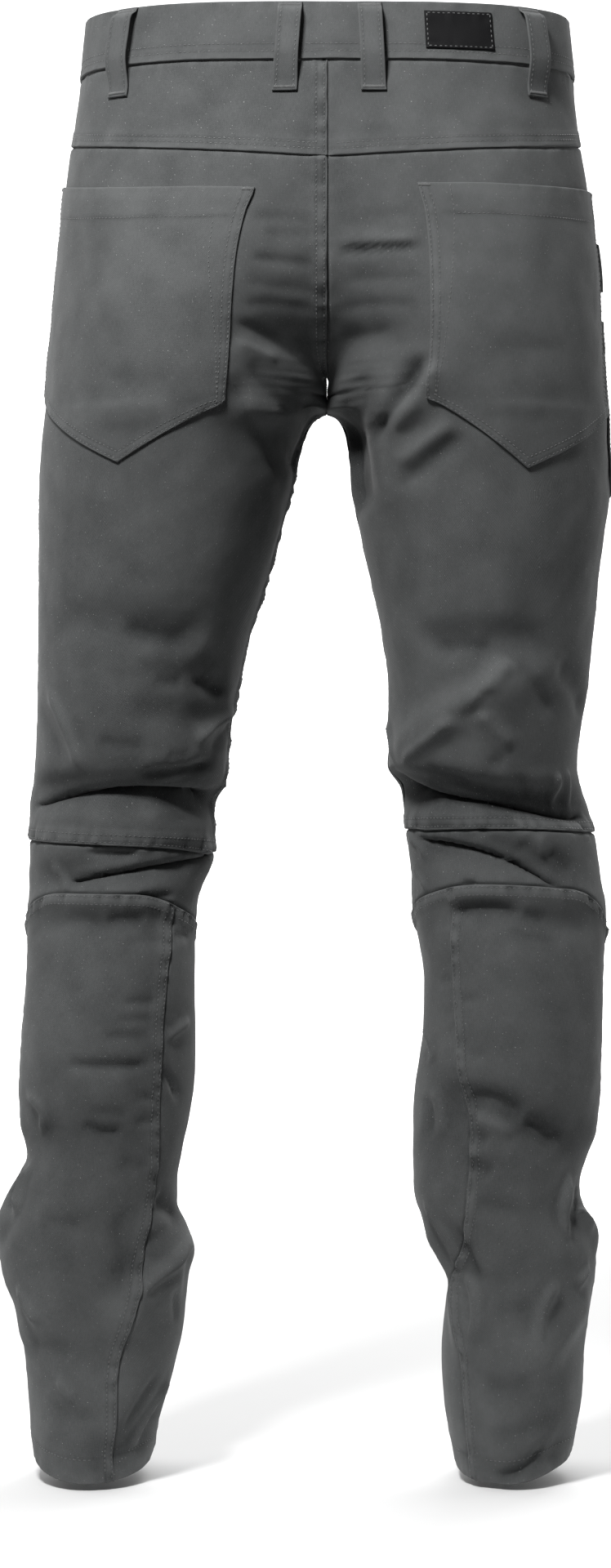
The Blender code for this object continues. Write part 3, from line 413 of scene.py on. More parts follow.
def raw_section(side, down, back_half):
    """The section's curve from its inner edge to the side seam, one row of points for each height."""
    outer, inner = leg_outline(side, down)
    side_y = curve(down, DEPTH["down"], DEPTH["side"])
    back_y, front_y = (curve(down, DEPTH["down"], DEPTH[name]) for name in ("back", "front"))
    far = np.where(back_half, back_y, front_y)
    rise = np.maximum(CROTCH - down, 0)
    root = np.sqrt(CENTRE["rise"])
    back_edge, front_edge = (curve(np.sqrt(rise), root, CENTRE[name]) for name in ("back", "front"))
    centre = np.where(back_half, back_edge, front_edge)
    inseam_y = CROTCH_Y + (side_y - CROTCH_Y) * ease((down - CROTCH) / 200)
    edge = np.where(down < CROTCH, centre, inseam_y)
    apex = inner + (outer - inner) * curve(down, DEPTH["down"], DEPTH["apex"])
    cleft = np.exp(-(rise / CREASE_ROUNDING) ** 1.7)
    outer, inner, side_y, far, edge, apex, cleft = (
        value[:, None] for value in (outer, inner, side_y, far, edge, apex, cleft))
    t = np.linspace(0, 1, SECTION_STEPS)[None, :]
    quarter = t * math.pi / 2
    soft_x = inner + (apex - inner) * t
    soft_y = edge + (far - edge) * (1 - np.cos(math.pi * t)) / 2
    round_x = inner + (apex - inner) * (1 - np.cos(quarter))
    round_y = edge + (far - edge) * np.sin(quarter)
    inner_x = soft_x + (round_x - soft_x) * cleft
    inner_y = soft_y + (round_y - soft_y) * cleft
    roundness = WAIST_ROUNDNESS + (1 - WAIST_ROUNDNESS) * ease(down[:, None] / 220)
    outer_x = apex + (outer - apex) * np.sin(quarter) ** roundness
    outer_y = side_y + (far - side_y) * np.maximum(np.cos(quarter), 0) ** roundness
    x = np.concatenate([inner_x, outer_x[:, 1:]], axis=1)
    y = np.concatenate([inner_y, outer_y[:, 1:]], axis=1)
    return x, y


def half_section(side, down, back_half):
    """The section's curve, with the ledge at the crotch evened out away from the seams."""
    x, y = raw_section(side, down, back_half)
    close = np.nonzero(np.abs(down - CROTCH) < LEDGE_REACH)[0]
    if len(close) == 0:
        return x, y
    mean = np.zeros((len(close), x.shape[1]))
    for shift in LEDGE_SHIFTS:
        near_x, near_y = raw_section(side, down[close] + shift, back_half[close])
        rows = zip(x[close], near_x, near_y)
        mean += np.stack([np.interp(*row) for row in rows]) / len(LEDGE_SHIFTS)
    share = ease((x[close] - x[close][:, :1]) / 22) * (1 - ease((x[close] - 80) / 40))
    share = share * ease(2 - 2 * np.abs(down[close] - CROTCH) / LEDGE_REACH)[:, None]
    y[close] += (mean - y[close]) * share
    return x, y


def pick(values, index, part):
    """Value between two neighbours in each row."""
    low = np.take_along_axis(values, index, axis=1)[:, 0]
    high = np.take_along_axis(values, index + 1, axis=1)[:, 0]
    return low + (high - low) * part


def wrap(u, down):
    """Below the crotch the section closes, so u goes round. Above it stops at the centre seams."""
    return np.where(down > CROTCH, np.mod(u, 2.0), np.clip(u, 0.0, 2.0))


def smooth_cloth(side, u, down):
    """Points of the cloth without its creases."""
    u = wrap(u, down)
    back_half = u <= 1
    along = np.where(back_half, u, 2 - u)
    x, y = half_section(side, down, back_half)
    steps = np.hypot(np.diff(x, axis=1), np.diff(y, axis=1))
    lengths = np.concatenate([np.zeros((len(u), 1)), np.cumsum(steps, axis=1)], axis=1)
    target = along * lengths[:, -1]
    index = np.clip((lengths <= target[:, None]).sum(axis=1) - 1, 0, x.shape[1] - 2)[:, None]
    start = np.take_along_axis(lengths, index, axis=1)[:, 0]
    step = np.take_along_axis(steps, index, axis=1)[:, 0]
    part = np.clip((target - start) / step, 0, 1)
    px = pick(x, index, part)
    py = pick(y, index, part)
    near_hem = ease((down - HEM_TILT_START) / (HEM - HEM_TILT_START))
    z = -down - (HEM_TILT * py + HEM_SLANT[side] * (HEM_MIDDLE - px)) * near_hem
    at_waist = ease((WAIST_TILT_END - down) / (WAIST_TILT_END - BAND_TOP))
    drop = np.where(py < 0, FRONT_WAIST_DROP * ease(-py / 100), BACK_WAIST_DROP * ease(py / 100))
    z = z - at_waist * drop
    sign = 1.0 if side == "left" else -1.0
    return np.stack([sign * px, py, z], axis=1)


def u_at(side, x, down, half="back"):
    """Where on the section the cloth is x from the centre line."""
    down = np.atleast_1d(np.asarray(down, float))
    x = np.broadcast_to(np.asarray(x, float), down.shape)
    xs, ys = half_section(side, down, np.full(down.shape, half == "back"))
    steps = np.hypot(np.diff(xs, axis=1), np.diff(ys, axis=1))
    lengths = np.concatenate([np.zeros((len(down), 1)), np.cumsum(steps, axis=1)], axis=1)
    along = np.array([np.interp(x[i], xs[i], lengths[i] / lengths[i, -1]) for i in range(len(down))])
    return along if half == "back" else 2 - along


def x_line(side, rows):
    """A seam given by distances from the centre line, as u at each height."""
    ends = rows["down"][0], rows["down"][-1]
    downs = np.concatenate([np.linspace(*ends, 40), CROTCH + CROTCH_LINES])
    downs = np.unique(np.clip(downs, *ends))
    us = u_at(side, curve(downs, rows["down"], rows["x"]), downs)
    return lambda down: np.interp(down, downs, us)


def u_line(rows):
    """A seam given by heights, as down at each u."""
    return lambda u: curve(u, rows["u"], rows["down"])


def bent_line(rows):
    """A seam of straight stretches, as down at each u."""
    return lambda u: np.interp(u, rows["u"], rows["down"])


def level(value):
    """A seam or edge at one u, or at one height."""
    return lambda other: np.full_like(other, value)


# Fine grid of the shown cloth: spacing, and the distances of the close lines beside an edge
STEP = 2.3
EDGE_LINES = (0.0, 0.35, 0.9, 1.8, 3.1, 4.6, 6.2, 8.0, 9.8)
EDGE_ROLL = 0.75
GROOVE = 0.22
# How strongly puckers and small folds paint shade into the colour of their troughs and light onto their
# ridges, the ridges partly also rubbed lighter by wear
PUCKER_SHADE_PAINT = 6.0
FOLD_SHADE_PAINT = 1.3


def fine_lines(*lengths, close=(True, True)):
    """Grid lines over stretches of the given lengths, close together beside the two ends."""
    lines = []
    last = len(lengths) - 1
    for i, length in enumerate(lengths):
        near = [away for away in EDGE_LINES if away < length / 2 - 1]
        start = near if i == 0 and close[0] else [0.0]
        end = near if i == last and close[1] else [0.0]
        span = length - start[-1] - end[-1]
        count = max(2, round(span / STEP))
        middle = start[-1] + span * np.arange(1, count) / count
        places = np.concatenate([start, middle, length - np.array(end[::-1])])
        lines.append(i + places[:-1] / length)
    lines = np.concatenate(lines + [[last + 1.0]])
    return lines if len(lines) % 2 else np.delete(lines, len(lines) // 2)


def lattice(columns, s_lines, rows, t_lines, row_shapes=None):
    """Grid of u and down whose lines pass along the given seams."""
    def turn(s, down):
        edges = np.stack([line(down.ravel()).reshape(s.shape) for line in columns])
        i = np.clip(s.astype(int), 0, len(columns) - 2)
        low = np.take_along_axis(edges, i[None], axis=0)[0]
        high = np.take_along_axis(edges, i[None] + 1, axis=0)[0]
        return low + (high - low) * (s - i)

    crossings = []
    for row in rows:
        down = np.full_like(s_lines, 300.0)
        for _ in range(40):
            down = (down + row(turn(s_lines, down))) / 2
        crossings.append(down)
    crossings = np.stack(crossings)
    s, t = np.meshgrid(s_lines, t_lines)
    k = np.clip(t.astype(int), 0, len(rows) - 2)
    part = t - k
    for segment, shape in (row_shapes or {}).items():
        start = turn(s_lines, crossings[segment])
        part = np.where(k == segment, shape(part, np.broadcast_to(start, s.shape)), part)
    top = np.take_along_axis(crossings, k, axis=0)
    bottom = np.take_along_axis(crossings, k + 1, axis=0)
    down = top + (bottom - top) * part
    return turn(s, down), down


def noise(points, size, seed):
    """Smooth noise between -1 and 1 over 3-D points, with features of the given size."""
    values = np.random.default_rng(seed).uniform(-1, 1, (32, 32, 32))
    places = points / size
    cell = np.floor(places).astype(int)
    t = places - cell
    t = t * t * (3 - 2 * t)
    total = 0.0
    for corner in np.ndindex(2, 2, 2):
        weight = 1.0
        for axis in range(3):
            weight = weight * (t[..., axis] if corner[axis] else 1 - t[..., axis])
        i, j, k = ((cell[..., axis] + corner[axis]) % 32 for axis in range(3))
        total = total + weight * values[i, j, k]
    return total


def along_line(rows, i, u, down):
    """Distance from the crease's line, its sign, and the place along it from 0 to 1."""
    t = np.linspace(0, 1, 13)
    mid_u = 2 * rows["u1"][i] - (rows["u0"][i] + rows["u2"][i]) / 2
    mid_down = 2 * rows["down1"][i] - (rows["down0"][i] + rows["down2"][i]) / 2
    line_u = (1 - t) ** 2 * rows["u0"][i] + 2 * t * (1 - t) * mid_u + t ** 2 * rows["u2"][i]
    line_down = (1 - t) ** 2 * rows["down0"][i] + 2 * t * (1 - t) * mid_down + t ** 2 * rows["down2"][i]
    best = np.full(u.shape, 1e9)
    place = np.zeros(u.shape)
    sign = np.ones(u.shape)
    for j in range(len(t) - 1):
        ax = u - line_u[j]
        ax = np.where(down > CROTCH, np.mod(ax + 1, 2.0) - 1, ax) * CREASE_HALF_TURN
        ay = down - line_down[j]
        bx = (line_u[j + 1] - line_u[j]) * CREASE_HALF_TURN
        by = line_down[j + 1] - line_down[j]
        part = np.clip((ax * bx + ay * by) / (bx * bx + by * by), 0, 1)
        reach = np.hypot(ax - part * bx, ay - part * by)
        closer = reach < best
        best = np.where(closer, reach, best)
        place = np.where(closer, (j + part) / (len(t) - 1), place)
        sign = np.where(closer, np.sign(bx * ay - by * ax), sign)
    return best, sign, place


def near_rows(rows, u, down):
    """The creases of a table that can reach the given stretch of cloth."""
    reach = 3.5 * rows["width"]
    downs = np.stack([rows[name] for name in ("down0", "down1", "down2")])
    us = np.stack([rows[name] for name in ("u0", "u1", "u2")])
    level_hit = (downs.min(axis=0) - reach < down.max()) & (downs.max(axis=0) + reach > down.min())
    turn = reach / CREASE_HALF_TURN
    hit = np.zeros(len(reach), bool)
    for shift in (-2.0, 0.0, 2.0):
        hit |= (us.min(axis=0) - turn < u.max() + shift) & (us.max(axis=0) + turn > u.min() + shift)
    return np.nonzero(level_hit & hit)[0]


def push(rows, u, down, sharp):
    """How far a table's creases move the cloth in. A sharp one is a narrow trough between low ridges."""
    total = np.zeros(u.shape)
    for i in near_rows(rows, u, down):
        reach, sign, place = along_line(rows, i, u, down)
        away = reach / rows["width"][i]
        fade = ease(place / 0.25) * ease((1 - place) / 0.25)
        if sharp:
            form = 1.45 * np.exp(-away ** 1.5) - 0.45 * np.exp(-(away / 2.2) ** 2)
        else:
            form = np.exp(-away ** 2)
        scale = 1.0
        if sharp:
            scale = WIDE_FOLD_DEPTH if rows["width"][i] >= 8 else FOLD_DEPTH
            scale = RIDGE_DEPTH if rows["depth"][i] < 0 else scale
        total += scale * rows["depth"][i] * form * fade
    return total


def by_distance(rows):
    """A table placed by distances in millimetres, turned into the turns that the others use."""
    return {name.replace("x", "u"): values / CREASE_HALF_TURN if name[0] == "x" else values
            for name, values in rows.items()}


def relief(side, u, down, smooth):
    """How far the cloth stands out, how far of it is small folds, and how far folds slide down."""
    turned = wrap(u, down)
    out = -push(CREASES[side], turned, down, sharp=False)
    small = -push(WRINKLES[side], turned, down, sharp=True)
    seat = by_distance(SEAT_FOLDS[side])
    on_seat = ease(turned / 0.04) * (turned < 1)
    small -= push(seat, np.abs(smooth[..., 0]) / CREASE_HALF_TURN, down, sharp=True) * on_seat
    for size, height, seed in UNEVENNESS:
        out += height * noise(smooth, size, seed)
    slide = np.zeros(u.shape)
    rows = OVERHANGS[side]
    for i in near_rows(rows, u, down):
        reach, sign, place = along_line(rows, i, turned, down)
        width = rows["width"][i]
        fade = ease(place / 0.12) * ease((1 - place) / 0.12)
        upper = sign * np.sign(rows["u2"][i] - rows["u0"][i]) < 0
        out -= rows["depth"][i] * fade * np.exp(-(reach / (0.55 * width)) ** 1.4)
        above = fade * np.exp(-((reach - 0.9 * width) / (0.8 * width)) ** 2) * upper
        out += 0.35 * rows["depth"][i] * above
        slide += rows["lean"][i] * fade * np.exp(-(reach / (1.6 * width)) ** 2) * upper
    still = 1 - np.exp(-((down - CROTCH) / 12) ** 2) * (1 - ease(np.abs(smooth[..., 0]) / 8))
    return (out + small) * still, small * still, slide


def unit(vectors):
    """Vectors of length 1."""
    return vectors / np.maximum(np.linalg.norm(vectors, axis=-1, keepdims=True), 1e-9)


def run_lengths(points, axis):
    """Distance along the grid lines from the first line and from the last one."""
    steps = np.linalg.norm(np.diff(points, axis=axis), axis=-1)
    first = np.concatenate([np.zeros_like(steps.take([0], axis)), np.cumsum(steps, axis)], axis)
    return first, first.take([-1], axis) - first


def edge_form(style, away, along, share, seed):
    """How an edge stands: rolled, turned, grooved and puckered. Gives its puckers and grooves alone too,
    for the painted shade and light of the colour.
    """
    rise, width, rows, pucker = EDGES[style]
    form = rise * (1 - ease((away - width + 1.2) / 2.4))
    inside = np.clip(1 - away / EDGE_ROLL, 0, 1)
    form -= EDGE_ROLL * (1 - np.sqrt(1 - inside ** 2)) * (1 - share)
    for row in rows:
        form -= GROOVE * np.exp(-((away - row) / 1.0) ** 2)
    ripples = np.stack([along / 4.6, away / 22, np.full_like(away, seed * 7.3)], axis=-1)
    puckers = pucker * noise(ripples, 1.0, seed) * np.exp(-(away / 9) ** 2) * ease(away / 1.5)
    # Marks of the stitch rows' grooves, which paint shade into the colour there
    groove_shade = sum(np.exp(-((away - row) / 0.9) ** 2) for row in rows)
    return form + puckers, puckers, groove_shade + np.zeros_like(away)


def cloth_piece(name, blocks, turn, styles, thick=CLOTH, seed=1, tucks=None):
    """A cut piece of cloth from blocks of (side, u, down, lift), with its edges' styles and tucks."""
    smooth, out, small, slide = [], [], [], []
    for side, u, down, lift in blocks:
        points = smooth_cloth(side, u.ravel(), down.ravel()).reshape(u.shape + (3,))
        stands, folds, slides = relief(side, u, down, points)
        smooth.append(points)
        out.append(stands + lift)
        small.append(folds)
        slide.append(slides)
    smooth, out, small, slide = (np.concatenate(parts, axis=1) for parts in (smooth, out, small, slide))
    downs = np.concatenate([block[2] for block in blocks], axis=1)
    downward = unit(np.gradient(smooth, axis=0))
    across = unit(np.gradient(smooth, axis=1))
    normal = unit(np.cross(downward, across)) * turn
    top, bottom = run_lengths(smooth, 0)
    left, right = run_lengths(smooth, 1)
    edges = {"top": (top, left), "bottom": (bottom, left), "left": (left, top), "right": (right, top)}
    ways = {"top": -downward, "bottom": downward, "left": -across, "right": across}
    form = np.zeros(out.shape)
    wear = np.zeros(out.shape)
    groove_shade = np.zeros(out.shape)
    deep = np.zeros(out.shape)
    # Colour value from the relief: painted shade in creases, troughs and puckers, and lighter ridges that
    # are partly painted light and partly rubbed by wear
    painted_relief_shade = out + FOLD_SHADE_PAINT * small
    beyond = np.zeros(smooth.shape)
    for i, (edge, (away, along)) in enumerate(edges.items()):
        style = styles.get(edge, "plain")
        share = np.zeros(out.shape)
        if tucks and edge in tucks:
            share = tucks[edge](downs)
        stands, puckers, row_groove_shade = edge_form(style, away, along, share, seed * 4 + i)
        form += stands
        # The puckers paint shade and light into the colour, and the stitch rows paint shade into their
        # grooves
        painted_relief_shade += PUCKER_SHADE_PAINT * puckers
        groove_shade = np.maximum(groove_shade, row_groove_shade)
        deep = np.maximum(deep, np.interp(away, TUCK["away"], TUCK["deep"]) * share)
        reach = np.interp(away, TUCK["away"], TUCK["beyond"]) * share
        beyond += ways[edge] * reach[..., None]
        if EDGES[style][0] > 0:
            wear = np.maximum(wear, np.exp(-(away / 1.6) ** 2) + 0.45 * np.exp(-((away - 4.8) / 3.5) ** 2))
    form = np.maximum(form, -thick + 0.3)
    base = smooth + downward * slide[..., None] + beyond
    rim = np.minimum(np.minimum(top, bottom), np.minimum(left, right))
    under = np.where(rim < EDGE_ROLL, -0.25 - EDGE_ROLL, -thick)
    under = np.where(deep > 0.6, -TUCKED_CLOTH - EDGE_ROLL * (rim < EDGE_ROLL) * (deep < 1.2), under)
    outer = base + normal * (out + form - deep)[..., None]
    inner = base + normal * (out - deep + under)[..., None]
    return {"name": name, "outer": outer, "inner": inner, "normal": normal, "smooth": smooth, "turn": turn,
            "wear": wear, "groove_shade": groove_shade, "relief": painted_relief_shade, "deep": deep, "edges": edges, "styles": styles}


def keep_clear(piece, sign):
    """Keeps a piece on its own side of the plane between left and right, but for what is sewn under."""
    for layer in ("outer", "inner"):
        x = piece[layer][..., 0]
        clear = sign * np.maximum(sign * x, SEAM_GAP / 2)
        piece[layer][..., 0] = np.where(piece["deep"] > 0, x, clear)
    return piece


def make_mesh(name, points, polygons, material):
    """A smooth-shaded mesh from points in millimetres and arrays of polygons."""
    mesh = bpy.data.meshes.new(name)
    sizes = np.concatenate([np.full(len(group), group.shape[1]) for group in polygons])
    mesh.vertices.add(len(points))
    mesh.vertices.foreach_set("co", (points * MM).ravel())
    mesh.loops.add(int(sizes.sum()))
    mesh.loops.foreach_set("vertex_index", np.concatenate([group.ravel() for group in polygons]))
    mesh.polygons.add(len(sizes))
    mesh.polygons.foreach_set("loop_start", np.concatenate([[0], np.cumsum(sizes)[:-1]]))
    mesh.update(calc_edges=True)
    mesh.validate()
    mesh.shade_smooth()
    mesh.materials.append(material)
    item = bpy.data.objects.new(name, mesh)
    bpy.context.scene.collection.objects.link(item)
    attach(item, "root")
    return item


def give(item, name, values):
    """Stores a number or a vector for each point of a mesh."""
    values = np.asarray(values, np.float32)
    kind = "FLOAT_VECTOR" if values.ndim == 2 else "FLOAT"
    layer = item.data.attributes.new(name, kind, "POINT")
    layer.data.foreach_set("vector" if values.ndim == 2 else "value", values.ravel())


def shell(piece, material):
    """The closed shell of a piece: fine outside, coarser inside, and a rim between them."""
    outer, inner = piece["outer"], piece["inner"][::2, ::2]
    rows, columns = outer.shape[:2]
    o = np.arange(rows * columns).reshape(rows, columns)
    n = rows * columns + np.arange(inner.shape[0] * inner.shape[1]).reshape(inner.shape[:2])
    quads = np.stack([o[:-1, :-1], o[:-1, 1:], o[1:, 1:], o[1:, :-1]], axis=-1).reshape(-1, 4)
    under = np.stack([n[:-1, :-1], n[1:, :-1], n[1:, 1:], n[:-1, 1:]], axis=-1).reshape(-1, 4)
    rims = []
    out_lines = (o[0], o[:, -1], o[-1, ::-1], o[::-1, 0])
    in_lines = (n[0], n[:, -1], n[-1, ::-1], n[::-1, 0])
    for fine, coarse in zip(out_lines, in_lines):
        rims.append(np.stack([fine[2::2], fine[1::2], fine[:-1:2], coarse[:-1], coarse[1:]], axis=-1))
    polygons = [quads, under, np.concatenate(rims)]
    if piece["turn"] > 0:
        polygons = [group[:, ::-1] for group in polygons]
    points = np.concatenate([outer.reshape(-1, 3), inner.reshape(-1, 3)])
    item = make_mesh("cloth_" + piece["name"], points, polygons, material)
    across, along = piece["edges"]["left"][0], piece["edges"]["top"][0]
    place = np.stack([across, along, np.zeros_like(along)], axis=-1)
    give(item, "weave", np.concatenate([place.reshape(-1, 3), place[::2, ::2].reshape(-1, 3)]))
    # The stitch-groove and relief values carry painted shade, and painted light on ridges, into the colour;
    # wear marks the rubbed seams.
    for name in ("wear", "groove_shade", "relief"):
        values = piece[name]
        give(item, name, np.concatenate([values.ravel(), values[::2, ::2].ravel()]))
    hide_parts(piece["name"])
    return item


def seam_row(piece, edge, offset, first=3.0, last=3.0):
    """Points and normals along a piece at a distance from one of its edges, or at distances that change."""
    away, along = piece["edges"][edge]
    points, normals = piece["outer"], piece["normal"]
    if edge in ("top", "bottom"):
        away, along = away.T, along.T
        points, normals = points.swapaxes(0, 1), normals.swapaxes(0, 1)
    if edge in ("bottom", "right"):
        away, along, points, normals = away[:, ::-1], along[:, ::-1], points[:, ::-1], normals[:, ::-1]
    if not np.isscalar(offset):
        offset = np.interp(along[:, 0], *np.array(offset, float).T)
    offset = np.broadcast_to(offset, away.shape[:1])
    k = np.clip((away <= offset[:, None]).sum(axis=1) - 1, 0, away.shape[1] - 2)
    line = np.arange(len(away))
    span = away[line, k + 1] - away[line, k]
    part = ((offset - away[line, k]) / np.maximum(span, 1e-6))[:, None]
    path = points[line, k] + (points[line, k + 1] - points[line, k]) * part
    facing = unit(normals[line, k] + (normals[line, k + 1] - normals[line, k]) * part)
    run = np.concatenate([[0], np.cumsum(np.linalg.norm(np.diff(path, axis=0), axis=1))])
    ends = np.array([first, run[-1] - last])
    return path, facing, run, ends


def style_rows(piece):
    """The stitch rows that the styles of a piece's edges ask for."""
    rows = []
    for edge, style in piece["styles"].items():
        for offset in EDGES[style][2]:
            rows.append(seam_row(piece, edge, offset, first=offset, last=offset))
    return rows


def sewing(name, rows, material, size=STITCH, turned=False):
    """Rows of stitches as one mesh, each a small raised grain of thread along its row or across it."""
    pitch, length, width, height = size
    centres, ways, ups = [], [], []
    for path, facing, run, (first, last) in rows:
        count = int((last - first) / pitch)
        if count < 1:
            continue
        places = first + (last - first) * (np.arange(count) + 0.5) / count
        at = [np.stack([np.interp(place, run, path[:, k]) for k in range(3)], axis=1)
              for place in (places - 1, places, places + 1)]
        up = unit(np.stack([np.interp(places, run, facing[:, k]) for k in range(3)], axis=1))
        way = unit(at[2] - at[0])
        centres.append(at[1])
        ways.append(np.cross(up, way) if turned else way)
        ups.append(up)
    centre, way, up = (np.concatenate(parts) for parts in (centres, ways, ups))
    side = unit(np.cross(up, way))
    corners = ((-0.5, 0, -0.25), (-0.28, 0.5, -0.1), (-0.28, 0, 1), (-0.28, -0.5, -0.1),
               (0.28, 0.5, -0.1), (0.28, 0, 1), (0.28, -0.5, -0.1), (0.5, 0, -0.25))
    points = np.stack([centre + way * a * length + side * b * width + up * c * height
                       for a, b, c in corners], axis=1)
    start = 8 * np.arange(len(centre))[:, None, None]
    ends = np.array(((0, 2, 1), (0, 3, 2), (0, 1, 3), (7, 4, 5), (7, 5, 6), (7, 6, 4)))
    middles = np.array(((1, 2, 5, 4), (2, 3, 6, 5), (3, 1, 4, 6)))
    polygons = [(start + ends).reshape(-1, 3), (start + middles).reshape(-1, 4)]
    item = make_mesh(name, points.reshape(-1, 3), polygons, material)
    return item


def toward_crotch(part, u):
    """Rows that crowd just above the crotch near the centre seams."""
    near = 1 - ease(np.minimum(u, 2 - u) / CROTCH_REACH)
    return part + near * (1 - (1 - part) ** 2 - part)


def from_crotch(part, u):
    """Rows that crowd just below the crotch near the inseam."""
    near = 1 - ease(np.minimum(u, 2 - u) / CROTCH_REACH)
    return part - near * 0.8 * part * (1 - part) ** 2


def trim(u, down):
    """Draws the grid's four edges in by half a seam gap."""
    half_gap = SEAM_GAP / 2
    u, down = u.copy(), down.copy()
    u[:, 0] += half_gap / HALF_WAIST
    u[:, -1] -= half_gap / HALF_WAIST
    down[0] += half_gap
    down[-1] -= half_gap
    return u, down


def whole_edge(down):
    """An edge that is sewn under its neighbour all along."""
    return np.ones_like(down)


def above_crotch(down):
    """An edge that is sewn under only above the crotch."""
    return ease((CROTCH - down) / 6)


def below_crotch(down):
    """An edge that is sewn under only below the crotch."""
    return ease((down - CROTCH) / 6)


def below_pocket(down):
    """An edge that is sewn under only below the front pocket's opening."""
    return ease((down - FRONT_POCKET["down"][-1] - 1) / 6)


def panel(name, side, grid, styles, tucks, seed):
    """A cut piece of one side of the garment."""
    u, down = trim(*grid)
    sign = 1 if side == "left" else -1
    piece = cloth_piece(name, [(side, u, down, 0.0)], -sign, styles, CLOTH, seed, tucks)
    return keep_clear(piece, sign)


def back_pieces(side):
    """Yoke, seat and thigh, back pocket, back of the knee and back of the calf."""
    yoke, knee_top = u_line(YOKE_SEAM), u_line(KNEE_TOP[side])
    knee_bottom = u_line(KNEE_BOTTOM[side])
    pocket_top, pocket_bottom = u_line(POCKET_TOP[side]), bent_line(POCKET_BOTTOM[side])
    pocket_edge = x_line(side, POCKET_EDGE[side])
    tip_rows = {"down": np.array([60.0, 300.0]), "x": np.array([POCKET_TIP[side] - 8, POCKET_TIP[side]])}
    pocket_tip = x_line(side, tip_rows)
    over = side == "left"
    centre = {"left": "felled"} if over else {}
    tucks = {"top": whole_edge} if over else {"top": whole_edge, "left": whole_edge}
    whole = (level(0.0), level(1.0))

    grid = lattice(whole, fine_lines(250), (level(BAND_SEAM), yoke), fine_lines(58))
    yield panel(f"yoke_{side}", side, grid, {"bottom": "yoke", **centre}, tucks, 1)

    rows = (yoke, pocket_bottom, level(THIGH_ROW), knee_top)
    lines = fine_lines(165, 205, 75)
    grid = lattice(whole, fine_lines(265), rows, lines, {0: toward_crotch, 1: from_crotch})
    yield panel(f"back_panel_{side}", side, grid, {"bottom": "felled", **centre}, tucks, 2)

    lines = fine_lines(100, 110)
    edges = (pocket_edge, pocket_tip, level(POCKET_OUTER[side]))
    u, down = lattice(edges, lines, (pocket_top, pocket_bottom), fine_lines(160))
    sign = 1 if side == "left" else -1
    styles = {"top": "turned", "bottom": "patch", "left": "patch", "right": "patch"}
    yield cloth_piece(f"back_pocket_{side}", [(side, u, down, PATCH_LIFT + PATCH_CLOTH)], -sign, styles,
                      PATCH_CLOTH, 3)

    grid = lattice(whole, fine_lines(215), (knee_top, knee_bottom), fine_lines(45))
    yield panel(f"back_knee_{side}", side, grid, {}, {**tucks, "bottom": whole_edge}, 4)

    calf_seam = x_line(side, CALF_SEAM[side])
    grid = lattice((calf_seam, level(1.0)), fine_lines(150), (knee_bottom, level(HEM)), fine_lines(385))
    styles = {"top": "felled", "bottom": "hem", "left": "felled"}
    yield panel(f"back_calf_{side}", side, grid, styles, {}, 5)


def front_pieces(side):
    """Front panel with its pocket facing, knee and shin."""
    knee_top, knee_bottom = u_line(KNEE_TOP[side]), u_line(KNEE_BOTTOM[side])
    calf_seam = x_line(side, CALF_SEAM[side])
    pocket_end = FRONT_POCKET["down"][-2]

    def opening(down):
        return np.interp(down, FRONT_POCKET["down"], FRONT_POCKET["u"])

    def around(down):
        return 2 + calf_seam(down)

    def wrapped(u):
        return knee_bottom(np.where(u > 2, u - 2, u))

    crotch_row = u_line(table("u down", (1, POCKET_BOTTOM[side]["down"][-1]), (2, CROTCH)))
    rows = (level(BAND_SEAM), level(pocket_end), level(FRONT_POCKET["down"][-1]),
            crotch_row, level(THIGH_ROW), knee_top)
    lines = fine_lines(146, 1, 75, 229, 75)
    under = side == "left"
    grid = lattice((opening, level(2.0)), fine_lines(260), rows, lines, {2: toward_crotch, 3: from_crotch})
    tucks = {"top": whole_edge, "left": below_pocket, "right": below_crotch if under else above_crotch}
    yield panel(f"front_panel_{side}", side, grid, {"left": "patch", "bottom": "felled"}, tucks, 6)

    bottom = level(pocket_end - SEAM_GAP)
    grid = lattice((level(1.0), opening), fine_lines(60), (level(BAND_SEAM), bottom), fine_lines(146))
    tucks = {"top": whole_edge, "left": whole_edge, "right": whole_edge}
    yield panel(f"pocket_facing_{side}", side, grid, {}, tucks, 7)

    grid = lattice((level(1.0), level(2.0)), fine_lines(215), (knee_top, knee_bottom), fine_lines(75))
    tucks = {"top": whole_edge, "bottom": whole_edge, "left": whole_edge}
    if under:
        tucks["right"] = whole_edge
    yield panel(f"front_knee_{side}", side, grid, {}, tucks, 8)

    leg_edges = (level(1.0), level(2.0), around)
    grid = lattice(leg_edges, fine_lines(210, 45), (wrapped, level(HEM)), fine_lines(345))
    tucks = {"left": whole_edge, "right": whole_edge}
    yield panel(f"shin_{side}", side, grid, {"top": "felled", "bottom": "hem"}, tucks, 9)


